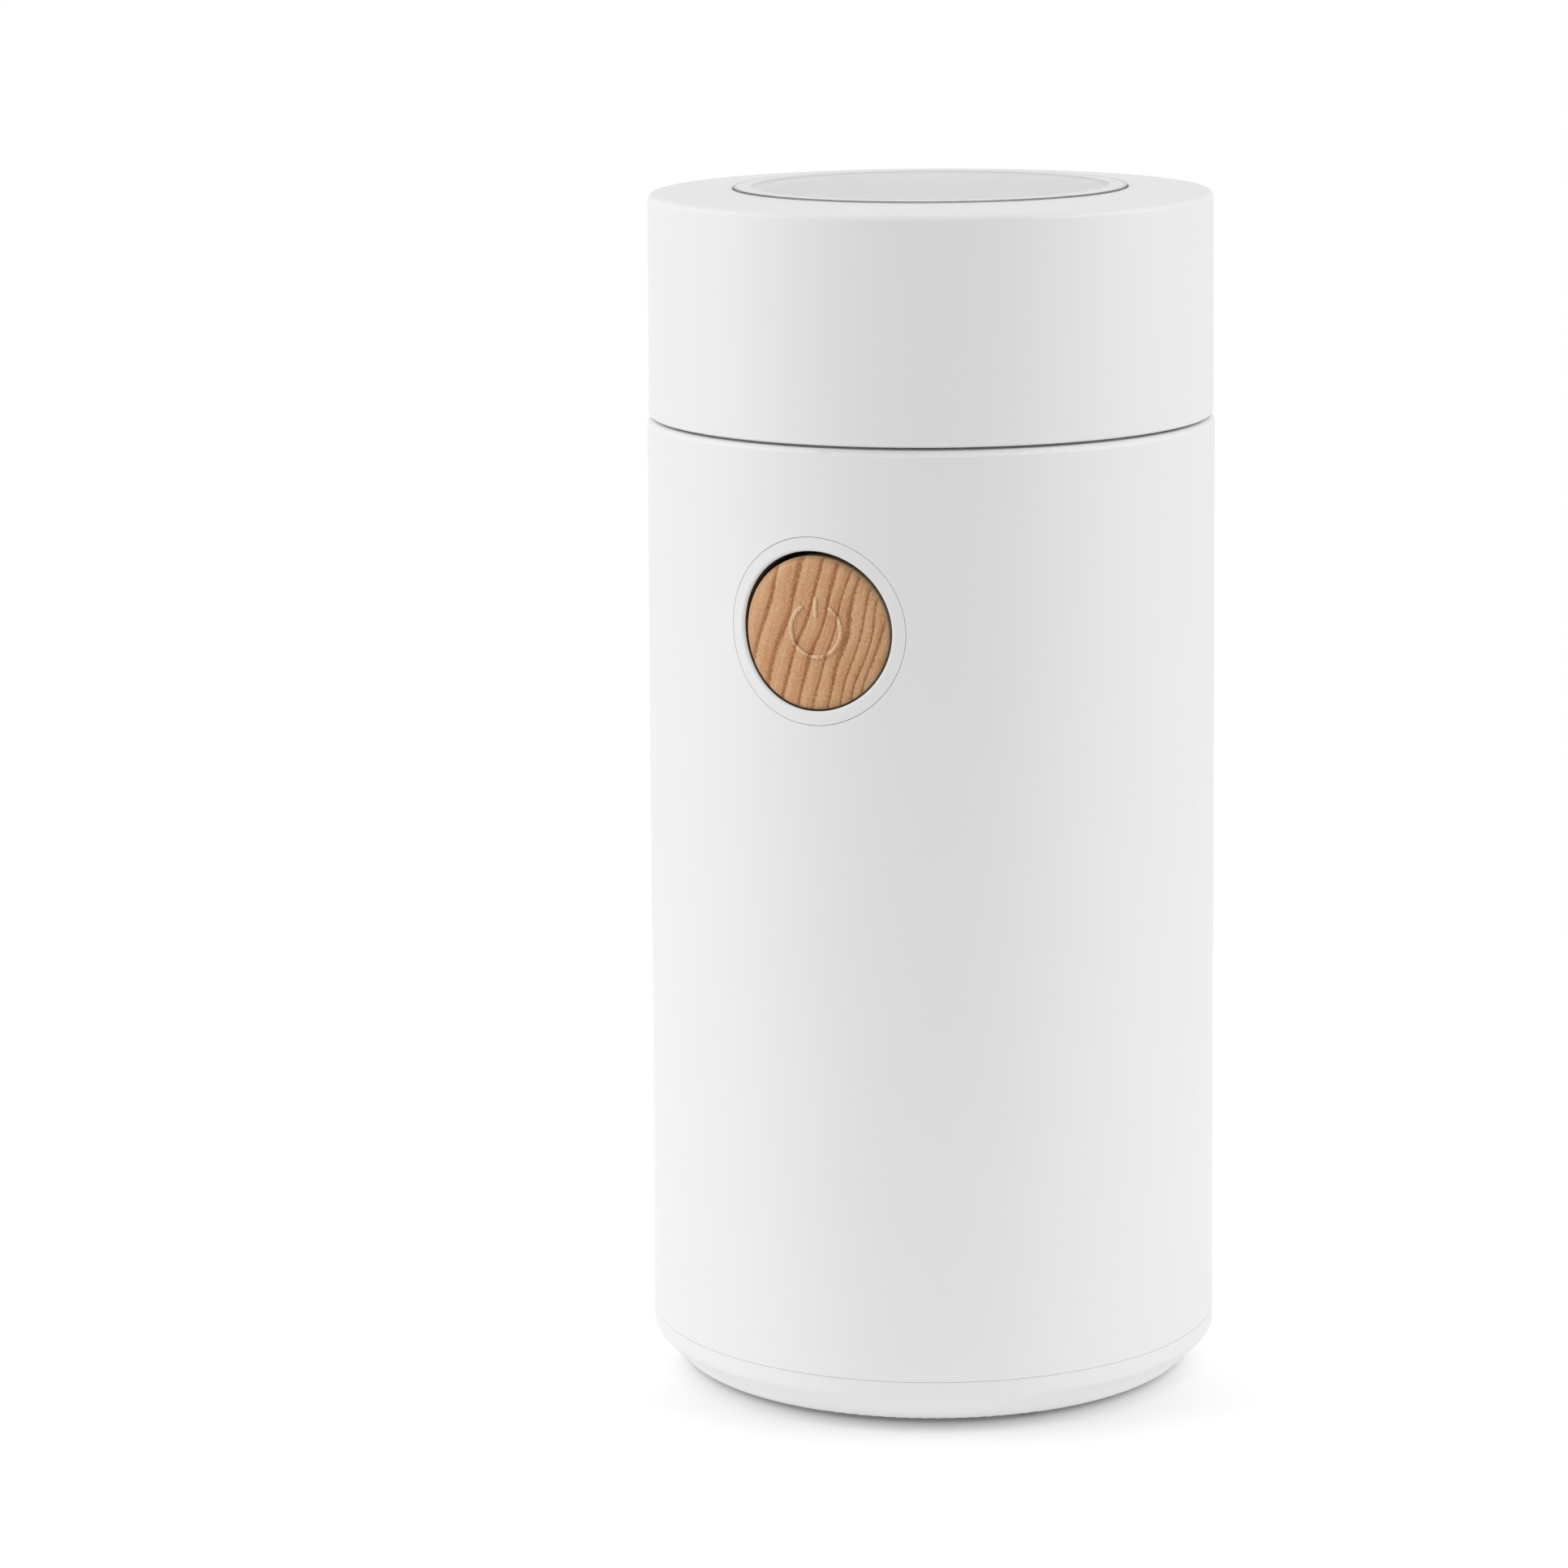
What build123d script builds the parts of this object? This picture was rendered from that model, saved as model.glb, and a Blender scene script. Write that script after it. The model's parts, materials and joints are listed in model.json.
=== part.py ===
from build123d import *
from math import radians, sqrt, tan
import os

# Compact electric spice grinder: a lift-off lid over a steel bowl with a
# spinning blade, above a round housing that holds the motor, the push button
# with its switch, the lid interlock and the control board.
#
# Frame: +Z up, origin on the table under the middle, the button faces -Y
# and the cord gland faces +Y. All sizes are in millimetres and degrees.

os.makedirs("parts", exist_ok=True)

# ---------------------------------------------------------------------------
# Driving dimensions
# ---------------------------------------------------------------------------

# Clearances
seat_clearance = 0.05       # a fixed piece in its seat
running_clearance = 0.05    # a turning or sliding shaft in its bore
bonded_clearance = 0.02     # a piece pressed on the motor shaft
guide_clearance = 0.3       # a loose guide between moving and fixed plastic
rest_gap = 0.1              # a moving piece above what stops it
bearing_slack = 0.1         # a bearing in its pocket, endways
key_root = 0.2              # how far the lid's key runs into the liner

# Outline
foot_proud = 0.6
base_height = 7.0
seam_gap = 0.05
housing_draft = 0.31
lid_gap = 0.42
lid_height = 33.13
lid_inset = 0.2             # the lid's edge inside the housing's
lid_draft = 0.45
lid_crown = 0.6
lid_edge_radius = 1.0
lid_rim_radius = 0.35       # round of the lid's lower edges

# Housing shell
housing_wall = 2.8
rim_wall = 2.4
rim_depth = 6.4
rim_edge_radius = 0.9
column_gap = 1.6            # between a screw column and the housing's wall
column_radius = 3.0
column_count = 4
column_angle = 45.0
web_thickness = 1.6
web_root = 0.9              # how far a web runs into the shell's wall

# Screws
screw_radius = 1.4
screw_head_radius = 2.8
screw_head_height = 1.8
screw_slot_length = 3.6
screw_grip = 7.0
screw_bottom_gap = 2.0      # the hole below the screw's tip
screw_slot = 0.7
screw_slot_depth = 0.9

# Base cover
base_floor = 2.4
base_bevel = 4.3
bevel_edge_radius = 1.2
spigot_height = 3.4
spigot_wall = 2.2
screw_recess = 5.0
recess_wall = 1.4
vent_count = 12
vent_angle = 15.0
vent_ring_radius = 17.0
vent_length = 12.0
vent_width = 2.4

# Feet
foot_radius = 5.2
foot_depth = 1.0
foot_chamfer = 0.3
foot_inset = 2.5            # from a foot to the bevel of the base
foot_count = 4

# Cord gland
gland_height = 20.0
gland_bore = 3.4
gland_relief = 4.1
gland_neck = 4.9
gland_flange = 7.0
gland_length = 5.7
gland_recess = 0.5

# Bowl and the deck that carries it
neck_web = 1.85             # of the neck outside the interlock pin
neck_height = 6.4
neck_wall = 2.4
neck_chamfer = 0.5
land_thickness = 3.4
gasket_thickness = 1.0
bowl_radius = 32.3
bowl_wall = 0.8
bowl_depth = 45.0
bowl_corner = 10.0
bowl_flange = 1.5
bowl_lip_radius = 0.5

# Lid
lid_wall = 2.2
window_inset = 4.5          # the window's edge inside the liner's
window_gap = 0.25
window_thickness = 2.0
window_proud = 0.25         # above the lid
window_ledge = 2.6
ledge_thickness = 1.6
ledge_land = 0.85           # the ledge's underside outside the window's edge
roof_relief = 0.6
liner_wall = 1.6
seal_thickness = 1.1
seal_width = 1.7
seal_inset = 0.4            # the seal's edge inside the liner's
key_width = 4.4
key_height = 9.0

# Interlock: a long pin beside the bowl, pushed down by the lid's key
pin_gap = 0.35              # between the pin and the bowl's rim
pin_radius = 1.25
pin_proud = 0.8
pin_chamfer = 0.3
pin_travel = 2.5
pin_collar_radius = 2.1
pin_collar = 1.0
pin_spring_length = 9.0
pin_spring_radius = 1.7
pin_spring_wire = 0.4
pin_spring_turns = 5
tower_width = 7.2
tower_cheek = 1.1
tower_shelf = 1.6
tower_depth = 4.4
interlock_length = 12.8
interlock_width = 5.8
interlock_height = 6.5
interlock_plunger = 0.9
interlock_tab_pitch = 4.2

# Motor mount
mount_plate = 2.4
mount_clearance = 0.6       # between the plate's rim and the housing
mount_hub_radius = 9.0
mount_hub_height = 9.1
mount_vent_ring_radius = 25.0
mount_vent_width = 4.0
mount_vent_angle = 50.0
mount_tab_margin = 1.0      # of the switch's body beside the slot for its tabs
motor_screw_ring_radius = 13.0
damper_thickness = 1.2
damper_inner = 9.0
bushing_radius = 4.0
bushing_length = 8.3
shaft_seal_radius = 6.0
shaft_seal_lip = 1.1

# Motor
can_radius = 22.0
can_wall = 1.6
can_length = 58.3
can_window_height = 7.0
can_window_width = 9.0
can_shaft_hole = 4.0
magnet_thickness = 2.2
magnet_length = 33.0
magnet_angle = 140.0
air_gap = 0.6
bearing_radius = 6.5
bearing_height = 4.5
bearing_wall = 1.5
bell_plate = 2.5
bell_rim = 4.0
bell_floor = 0.8            # under the lower bearing
bell_vent_radius = 2.6
bell_vent_ring_radius = 13.6
bell_vent_count = 4
shaft_radius = 2.5
shaft_thread = 2.0
core_length = 24.0
core_offset = 21.0          # from the can's open end to the core
core_slots = 9
slot_radius = 2.6
slot_ring_radius = 12.6
slot_mouth = 1.8
slot_overrun = 0.5          # of the mouth's cut past the core
coil_clearance = 0.1
coil_overhang = 4.0
coil_margin = 0.6
coil_bevel = 1.2
commutator_radius = 6.2
commutator_length = 8.0
commutator_bars = 9
commutator_slit = 0.5
commutator_gap = 3.0        # between the commutator and the coils
brush_gap = 0.15
brush_length = 6.6
brush_width = 5.0
brush_height = 4.0
holder_wall = 0.5
holder_setback = 1.2        # of the holder's box behind the brush's face
brush_spring_length = 4.0
brush_spring_radius = 1.4
brush_spring_wire = 0.4
brush_spring_turns = 3

# Cooling fan
fan_radius = 19.5
fan_height = 9.0
fan_plate = 1.2
fan_gap = 2.0
fan_floor_gap = 2.1         # above the tallest block on the board
fan_hub_radius = 5.0
fan_blades = 9
fan_blade_thickness = 1.2
fan_blade_root = 7.5
fan_sweep = 32.0
fan_lead = 10.7             # the sweep at the middle of a fan blade

# Blade
blade_radius = 27.0
blade_hub_radius = 6.5
blade_thickness = 1.6
blade_root_width = 10.0
blade_tip_width = 7.6
blade_bevel = 1.6
blade_pitch = 26.0
blade_rise = 4.8
blade_collar = 1.0
blade_lift = 0.3            # the shaft's collar above the seal
nut_flats = 9.0
nut_height = 4.4
nut_dome = 2.6
nut_dome_edge = 2.0

# Button
button_radius = 11.05
button_recess = 0.05
button_edge_radius = 0.8
button_travel = 2.0
button_gap = 0.42           # round the cap, which rests low in its opening
bezel_radius = 13.5
bezel_seam = 0.08
bezel_lip_radius = 0.45
bezel_flange = 1.3
cap_pocket = 1.2
cap_wall = 1.6
carrier_plate = 1.2
carrier_margin = 0.25
leg_width = 6.0
leg_thickness = 1.2
leg_overlap = 0.6
leg_root = 8.4              # the leg's top below the button's middle
leg_slack = 0.4
spring_wire = 0.45
spring_large_radius = 6.4
spring_turns = 3
spring_cone = 35.0
spring_peg_radius = 1.8
spring_peg = 0.4

# Power switch and the bracket that holds it
bracket_gap = 0.5           # between the bowl and the bracket's strap
bracket_sheet = 0.7
bracket_width = 14.0
bracket_foot = 0.8
bracket_tab_gap = 0.2
switch_length = 19.8
switch_depth = 9.8
switch_height = 6.4
plunger_radius = 1.5
plunger_insert = 2.0
switch_tab = 3.0
switch_tab_thickness = 0.5
switch_tab_pitch = 7.0

# Control board
board_gap = 2.4             # between the board and the bosses around it
board_thickness = 1.6
board_standoff = 8.0
standoff_radius = 2.4
standoff_margin = 4.0       # from a standoff to the board's edge
standoff_count = 3
standoff_angle = 30.0
board_screw_radius = 1.0
board_screw_head = 2.0
board_screw_grip = 5.0
rectifier_size = (15.0, 10.0, 4.2)
rectifier_side = 8.0
rectifier_margin = 13.0     # from its middle to the board's edge
capacitor_size = (17.5, 8.0, 7.8)
capacitor_side = 12.0
capacitor_margin = 17.0
terminal_size = (12.0, 9.0, 7.8)
terminal_margin = 7.0
terminal_poles = 2
terminal_pitch = 5.0
terminal_entry = 2.8        # side of the opening for a wire
terminal_entry_height = 3.0
terminal_entry_depth = 6.0
terminal_well_radius = 1.7
terminal_well_depth = 2.2
board_block_chamfer = 0.5
varistor_radius = 4.4
varistor_thickness = 3.2
varistor_lead = 0.8
varistor_side = 1.0
varistor_margin = 5.0
protector_size = (3.6, 6.0, 13.0)

# ---------------------------------------------------------------------------
# Levels and radii that follow from them
# ---------------------------------------------------------------------------

base_z = foot_proud
base_floor_z = base_z + base_floor
seam_z = base_z + base_height
spigot_top_z = seam_z + spigot_height
board_z = base_floor_z + board_standoff
board_top_z = board_z + board_thickness
tallest_block = max(rectifier_size[2], capacitor_size[2], terminal_size[2])
fan_z = board_top_z + tallest_block + fan_floor_gap
fan_top_z = fan_z + fan_height
bell_z = fan_top_z + fan_gap
can_bottom_z = bell_z + bell_plate
motor_top_z = can_bottom_z + can_length
mount_z = motor_top_z + damper_thickness
mount_top_z = mount_z + mount_plate
bowl_bottom_z = mount_top_z + mount_hub_height
bowl_floor_z = bowl_bottom_z + bowl_wall
bowl_rim_z = bowl_bottom_z + bowl_depth
flange_z = bowl_rim_z - bowl_wall
deck_top_z = flange_z - gasket_thickness
land_z = deck_top_z - land_thickness
housing_top_z = deck_top_z - neck_height
deck_ledge_z = housing_top_z - rim_depth
lid_bottom_z = housing_top_z + lid_gap
lid_top_z = lid_bottom_z + lid_height

bowl_outer = bowl_radius + bowl_wall
bowl_rim_radius = bowl_outer + bowl_flange
bowl_hole = bushing_radius + seat_clearance * 2
pin_orbit = bowl_rim_radius + pin_gap + pin_radius
neck_radius = pin_orbit + pin_radius + neck_web
lid_radius = neck_radius + guide_clearance + lid_wall
housing_top_radius = lid_radius + lid_inset
rim_inner = housing_top_radius - rim_wall
liner_radius = bowl_outer + guide_clearance
window_radius = liner_radius - window_inset


def housing_radius(z):
    """Outer radius of the tapered housing at height z."""
    return housing_top_radius + (housing_top_z - z) * tan(radians(housing_draft))


def lid_outer_radius(z):
    """Outer radius of the tapered lid at height z."""
    return lid_radius - (z - lid_bottom_z) * tan(radians(lid_draft))


base_radius = housing_radius(seam_z)
spigot_radius = housing_radius(spigot_top_z) - housing_wall - seat_clearance
mount_radius = housing_radius(mount_z) - housing_wall - mount_clearance
column_orbit = housing_top_radius - housing_wall - column_gap - column_radius
foot_orbit = housing_top_radius - base_bevel - foot_inset - foot_radius
board_radius = column_orbit - screw_head_radius - recess_wall - board_gap
standoff_orbit = board_radius - standoff_margin
rectifier_place = (-rectifier_side, rectifier_margin - board_radius)
capacitor_place = (capacitor_side, capacitor_margin - board_radius)
terminal_place = (0, board_radius - terminal_margin)
varistor_place = (varistor_margin - board_radius, -varistor_side)

can_inner = can_radius - can_wall
magnet_inner = can_inner - seat_clearance - magnet_thickness
core_radius = magnet_inner - air_gap
core_z = can_bottom_z + core_offset
core_top_z = core_z + core_length
coil_z = core_z - coil_overhang
coil_inner = slot_ring_radius - slot_radius - coil_margin
coil_outer = slot_ring_radius + slot_radius
commutator_z = coil_z - commutator_gap - commutator_length
brush_z = commutator_z + commutator_length / 2
bearing_bore = shaft_radius + bonded_clearance
bearing_seat = bearing_radius + bonded_clearance
upper_bearing_z = motor_top_z - can_wall - bearing_slack - bearing_height
lower_bearing_z = bell_z + bell_floor

collar_z = bowl_floor_z + shaft_seal_lip + blade_lift
blade_z = collar_z + blade_collar
nut_z = blade_z + blade_thickness

pin_top_z = deck_top_z + pin_proud
collar_top_z = land_z - pin_travel - guide_clearance
collar_bottom_z = collar_top_z - pin_collar
tower_z = collar_bottom_z - pin_spring_length
interlock_top_z = mount_top_z + interlock_height
pin_bottom_z = interlock_top_z + interlock_plunger + pin_proud

button_z = (mount_top_z + deck_ledge_z) / 2
cap_z = button_z - button_gap + rest_gap
button_wall_radius = housing_radius(button_z) - housing_wall
strap_inner = bowl_outer + bracket_gap
strap_outer = strap_inner + bracket_sheet
leg_back = strap_outer + 2 * rest_gap + button_travel
leg_front = leg_back + leg_thickness
carrier_back = leg_front - leg_overlap
cap_back = carrier_back + carrier_plate
bezel_opening = button_radius + button_gap
bezel_flange_radius = bezel_radius + bezel_flange
bezel_end = sqrt(button_wall_radius**2 - bezel_flange_radius**2)
switch_z = mount_top_z + bracket_foot + switch_height / 2
bracket_top_z = button_z + bezel_flange_radius + 2 * bracket_sheet + bracket_tab_gap
leg_bottom_z = switch_z - plunger_radius - bracket_foot

gland_face = sqrt((housing_radius(gland_height) - housing_wall) ** 2 - gland_flange**2)


def save(piece, name):
    """Label a finished piece and write it as a STEP file of that name."""
    piece.part.label = name
    export_step(piece.part, f"parts/{name}.step")


# ---------------------------------------------------------------------------
# Housing shell: tapered tube with a stepped rim, four screw columns on webs,
# a round opening for the button and a hole for the cord gland
# ---------------------------------------------------------------------------

with BuildPart() as housing_shell:
    with BuildSketch(Plane.XZ) as housing_profile:
        with BuildLine():
            Polyline(
                (housing_radius(seam_z), seam_z),
                (housing_top_radius, housing_top_z),
                (rim_inner, housing_top_z),
                (rim_inner, deck_ledge_z),
                (housing_radius(deck_ledge_z) - housing_wall, deck_ledge_z),
                (housing_radius(seam_z) - housing_wall, seam_z),
                close=True,
            )
        make_face()
        fillet(housing_profile.vertices().group_by(Axis.Y)[-1], rim_edge_radius)
    revolve(axis=Axis.Z)

    web_end = housing_radius(mount_z) - housing_wall + web_root
    with BuildSketch(Plane.XY.offset(spigot_top_z)):
        with PolarLocations(column_orbit, column_count, start_angle=column_angle):
            Circle(column_radius)
        with PolarLocations((column_orbit + web_end) / 2, column_count, start_angle=column_angle):
            Rectangle(web_end - column_orbit, web_thickness)
    extrude(amount=mount_z - spigot_top_z)

    hole_depth = screw_grip + screw_bottom_gap
    for level, depth in ((spigot_top_z, hole_depth), (mount_z, -hole_depth)):
        with BuildSketch(Plane.XY.offset(level)):
            with PolarLocations(column_orbit, column_count, start_angle=column_angle):
                Circle(screw_radius + running_clearance)
        extrude(amount=depth, mode=Mode.SUBTRACT)

    with BuildSketch(Plane.XZ.offset(bezel_end - bezel_flange)):
        with Locations((0, button_z)):
            Circle(bezel_radius + bezel_seam)
    extrude(amount=housing_top_radius, mode=Mode.SUBTRACT)

    with BuildSketch(Plane.XZ.offset(-gland_face + gland_length)):
        with Locations((0, gland_height)):
            Circle(gland_neck + seat_clearance)
    extrude(amount=-housing_top_radius, mode=Mode.SUBTRACT)
save(housing_shell, "housing_shell")

# ---------------------------------------------------------------------------
# Base cover: bevelled cup with a spigot, screw bosses, board standoffs, air
# slots and recesses for the feet
# ---------------------------------------------------------------------------

with BuildPart() as base_cover:
    with BuildSketch(Plane.XZ) as base_profile:
        with BuildLine():
            Polyline(
                (0, base_z),
                (base_radius - base_bevel, base_z),
                (base_radius, base_z + base_bevel),
                (base_radius, seam_z - seam_gap),
                (spigot_radius, seam_z - seam_gap),
                (spigot_radius, spigot_top_z),
                (spigot_radius - spigot_wall, spigot_top_z),
                (spigot_radius - spigot_wall, base_floor_z),
                (0, base_floor_z),
                close=True,
            )
        make_face()
        fillet(
            base_profile.vertices().sort_by_distance((base_radius, base_z))[:2],
            bevel_edge_radius,
        )
    revolve(axis=Axis.Z)

    with BuildSketch(Plane.XY.offset(base_floor_z)):
        with PolarLocations(column_orbit, column_count, start_angle=column_angle):
            Circle(screw_head_radius + recess_wall)
    extrude(amount=spigot_top_z - base_floor_z)
    with BuildSketch(Plane.XY.offset(base_floor_z)):
        with PolarLocations(standoff_orbit, standoff_count, start_angle=standoff_angle):
            Circle(standoff_radius)
    extrude(amount=board_standoff)

    with BuildSketch(Plane.XY.offset(base_z)):
        with PolarLocations(column_orbit, column_count, start_angle=column_angle):
            Circle(screw_radius + seat_clearance)
    extrude(amount=spigot_top_z - base_z, mode=Mode.SUBTRACT)
    with BuildSketch(Plane.XY.offset(base_z)):
        with PolarLocations(column_orbit, column_count, start_angle=column_angle):
            Circle(screw_head_radius + seat_clearance)
    extrude(amount=screw_recess, mode=Mode.SUBTRACT)
    with BuildSketch(Plane.XY.offset(base_z)):
        with PolarLocations(foot_orbit, foot_count):
            Circle(foot_radius + seat_clearance)
    extrude(amount=foot_depth, mode=Mode.SUBTRACT)
    with BuildSketch(Plane.XY.offset(board_z)):
        with PolarLocations(standoff_orbit, standoff_count, start_angle=standoff_angle):
            Circle(board_screw_radius + running_clearance)
    extrude(amount=-board_screw_grip, mode=Mode.SUBTRACT)
    with BuildSketch(Plane.XY.offset(base_z)):
        with PolarLocations(vent_ring_radius, vent_count, start_angle=vent_angle):
            SlotOverall(vent_length, vent_width)
    extrude(amount=base_floor, mode=Mode.SUBTRACT)
save(base_cover, "base_cover")

with BuildPart() as rubber_feet:
    with BuildSketch():
        with PolarLocations(foot_orbit, foot_count):
            Circle(foot_radius)
    extrude(amount=foot_proud + foot_depth)
    chamfer(rubber_feet.edges().group_by(Axis.Z)[0], foot_chamfer)
save(rubber_feet, "rubber_feet")

with BuildPart() as base_screws:
    head_z = base_z + screw_recess - screw_head_height
    with BuildSketch(Plane.XY.offset(head_z)):
        with PolarLocations(column_orbit, column_count, start_angle=column_angle):
            Circle(screw_head_radius)
    extrude(amount=screw_head_height)
    with BuildSketch(Plane.XY.offset(head_z)):
        with PolarLocations(column_orbit, column_count, start_angle=column_angle):
            Circle(screw_radius)
    extrude(amount=spigot_top_z + screw_grip - head_z)
    with BuildSketch(Plane.XY.offset(head_z)):
        with PolarLocations(column_orbit, column_count, start_angle=column_angle):
            Rectangle(screw_slot_length, screw_slot)
            Rectangle(screw_slot, screw_slot_length)
    extrude(amount=screw_slot_depth, mode=Mode.SUBTRACT)
save(base_screws, "base_screws")

with BuildPart() as cord_gland:
    with BuildSketch(Plane.XZ.offset(-gland_face)):
        with Locations((0, gland_height)):
            Circle(gland_flange)
    extrude(amount=gland_length)
    with BuildSketch(Plane.XZ.offset(-gland_face)):
        with Locations((0, gland_height)):
            Circle(gland_neck)
    extrude(amount=-(housing_radius(gland_height) - gland_recess - gland_face))
    with BuildSketch(Plane.XZ.offset(-gland_face)):
        with Locations((0, gland_height)):
            Circle(gland_relief)
    extrude(amount=-housing_wall * 2, mode=Mode.SUBTRACT)
    with BuildSketch(Plane.XZ.offset(-gland_face)):
        with Locations((0, gland_height)):
            Circle(gland_bore)
    extrude(amount=gland_length, mode=Mode.SUBTRACT)
save(cord_gland, "cord_gland")

# ---------------------------------------------------------------------------
# Top deck: neck that guides the lid, land that carries the bowl, and a tower
# that guides the interlock pin and seats its spring
# ---------------------------------------------------------------------------

with BuildPart() as top_deck:
    with BuildSketch(Plane.XZ) as deck_profile:
        with BuildLine():
            Polyline(
                (bowl_outer + guide_clearance, deck_top_z),
                (neck_radius, deck_top_z),
                (neck_radius, housing_top_z - rim_edge_radius),
                (rim_inner - seat_clearance, housing_top_z - rim_edge_radius),
                (rim_inner - seat_clearance, deck_ledge_z),
                (neck_radius - neck_wall, deck_ledge_z),
                (neck_radius - neck_wall, land_z),
                (bowl_outer + guide_clearance, land_z),
                close=True,
            )
        make_face()
        chamfer(
            deck_profile.vertices().group_by(Axis.Y)[-1].sort_by(Axis.X)[-1],
            neck_chamfer,
        )
    revolve(axis=Axis.Z)

    with BuildSketch(Plane.XY.offset(tower_z - tower_shelf)):
        with Locations((0, pin_orbit + guide_clearance)):
            Rectangle(tower_width, tower_depth)
    extrude(amount=land_z - tower_z + tower_shelf)
    with BuildSketch(Plane.XY.offset(tower_z)):
        with Locations((0, pin_orbit)):
            Rectangle(tower_width - 2 * tower_cheek, 2 * (pin_collar_radius + guide_clearance))
    extrude(amount=land_z - tower_z, mode=Mode.SUBTRACT)
    with BuildSketch(Plane.XY.offset(tower_z - tower_shelf)):
        with Locations((0, pin_orbit)):
            Circle(pin_radius + running_clearance)
    extrude(amount=deck_top_z - tower_z + tower_shelf, mode=Mode.SUBTRACT)
save(top_deck, "top_deck")

# ---------------------------------------------------------------------------
# Grinding bowl: deep-drawn cup with a round corner and a turned-out rim
# ---------------------------------------------------------------------------

with BuildPart() as grinding_bowl:
    corner_x = bowl_radius - bowl_corner
    corner_z = bowl_floor_z + bowl_corner
    with BuildSketch(Plane.XZ) as bowl_profile:
        with BuildLine():
            Line((bowl_hole, bowl_floor_z), (corner_x, bowl_floor_z))
            CenterArc((corner_x, corner_z), bowl_corner, -90, 90)
            Polyline(
                (bowl_radius, corner_z),
                (bowl_radius, bowl_rim_z),
                (bowl_rim_radius, bowl_rim_z),
                (bowl_rim_radius, flange_z),
                (bowl_outer, flange_z),
                (bowl_outer, corner_z),
            )
            CenterArc((corner_x, corner_z), bowl_corner + bowl_wall, 0, -90)
            Polyline(
                (corner_x, bowl_bottom_z),
                (bowl_hole, bowl_bottom_z),
                (bowl_hole, bowl_floor_z),
            )
        make_face()
        fillet(
            bowl_profile.vertices().group_by(Axis.Y)[-1].sort_by(Axis.X)[0],
            bowl_lip_radius,
        )
    revolve(axis=Axis.Z)
save(grinding_bowl, "grinding_bowl")

with BuildPart() as bowl_gasket:
    with BuildSketch(Plane.XY.offset(deck_top_z)):
        Circle(bowl_rim_radius)
        Circle(bowl_outer + 2 * seat_clearance, mode=Mode.SUBTRACT)
    extrude(amount=gasket_thickness)
save(bowl_gasket, "bowl_gasket")

# ---------------------------------------------------------------------------
# Lid: crowned shell, clear window, inner liner with the interlock key, seal
# ---------------------------------------------------------------------------

window_opening = window_radius + window_gap
lid_corner_radius = lid_outer_radius(lid_top_z)
window_z = lid_top_z + window_proud - window_thickness
ledge_z = window_z - ledge_thickness
roof_z = ledge_z + roof_relief
liner_outer = liner_radius + liner_wall
liner_z = bowl_rim_z + rest_gap + seal_thickness


def crown_height(radius):
    """Height of the lid's crowned top at a radius outside the window."""
    span = lid_corner_radius**2 - window_opening**2
    return lid_top_z - lid_crown * (radius**2 - window_opening**2) / span


with BuildPart() as lid_shell:
    crown_middle = (window_opening + lid_corner_radius) / 2
    inner_top_radius = lid_outer_radius(roof_z) - lid_wall
    with BuildSketch(Plane.XZ) as lid_profile:
        with BuildLine():
            Line((lid_radius, lid_bottom_z), (lid_corner_radius, lid_top_z - lid_crown))
            ThreePointArc(
                (lid_corner_radius, lid_top_z - lid_crown),
                (crown_middle, crown_height(crown_middle)),
                (window_opening, lid_top_z),
            )
            Polyline(
                (window_opening, lid_top_z),
                (window_opening, window_z),
                (window_radius - window_ledge, window_z),
                (window_radius - window_ledge, ledge_z),
                (window_opening + ledge_land, ledge_z),
                (window_opening + ledge_land, roof_z),
                (inner_top_radius, roof_z),
                (lid_radius - lid_wall, lid_bottom_z),
                (lid_radius, lid_bottom_z),
            )
        make_face()
        fillet(
            lid_profile.vertices().sort_by_distance((lid_corner_radius, lid_top_z))[0],
            lid_edge_radius,
        )
        fillet(lid_profile.vertices().group_by(Axis.Y)[0], lid_rim_radius)
    revolve(axis=Axis.Z)
save(lid_shell, "lid_shell")

with BuildPart() as lid_window:
    with BuildSketch(Plane.XY.offset(window_z)):
        Circle(window_radius)
    extrude(amount=window_thickness)
save(lid_window, "lid_window")

with BuildPart() as lid_liner:
    with BuildSketch(Plane.XZ):
        with BuildLine():
            Polyline(
                (window_radius - window_ledge, ledge_z),
                (liner_outer, ledge_z),
                (liner_outer, liner_z),
                (liner_radius, liner_z),
                (liner_radius, ledge_z - liner_wall),
                (window_radius - window_ledge, ledge_z - liner_wall),
                close=True,
            )
        make_face()
    revolve(axis=Axis.Z)
    key_z = pin_top_z + rest_gap
    key_inner = liner_outer - key_root
    key_outer = pin_orbit + pin_radius + rest_gap
    with BuildSketch(Plane.XY.offset(key_z)):
        with Locations((0, (key_inner + key_outer) / 2)):
            Rectangle(key_width, key_outer - key_inner)
    extrude(amount=key_height)
save(lid_liner, "lid_liner")

with BuildPart() as lid_seal:
    with BuildSketch(Plane.XY.offset(bowl_rim_z + rest_gap)):
        Circle(liner_radius - seal_inset + seal_width)
        Circle(liner_radius - seal_inset, mode=Mode.SUBTRACT)
    extrude(amount=seal_thickness)
save(lid_seal, "lid_seal")

# ---------------------------------------------------------------------------
# Interlock: pin, spring and the small switch under it
# ---------------------------------------------------------------------------

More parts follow.
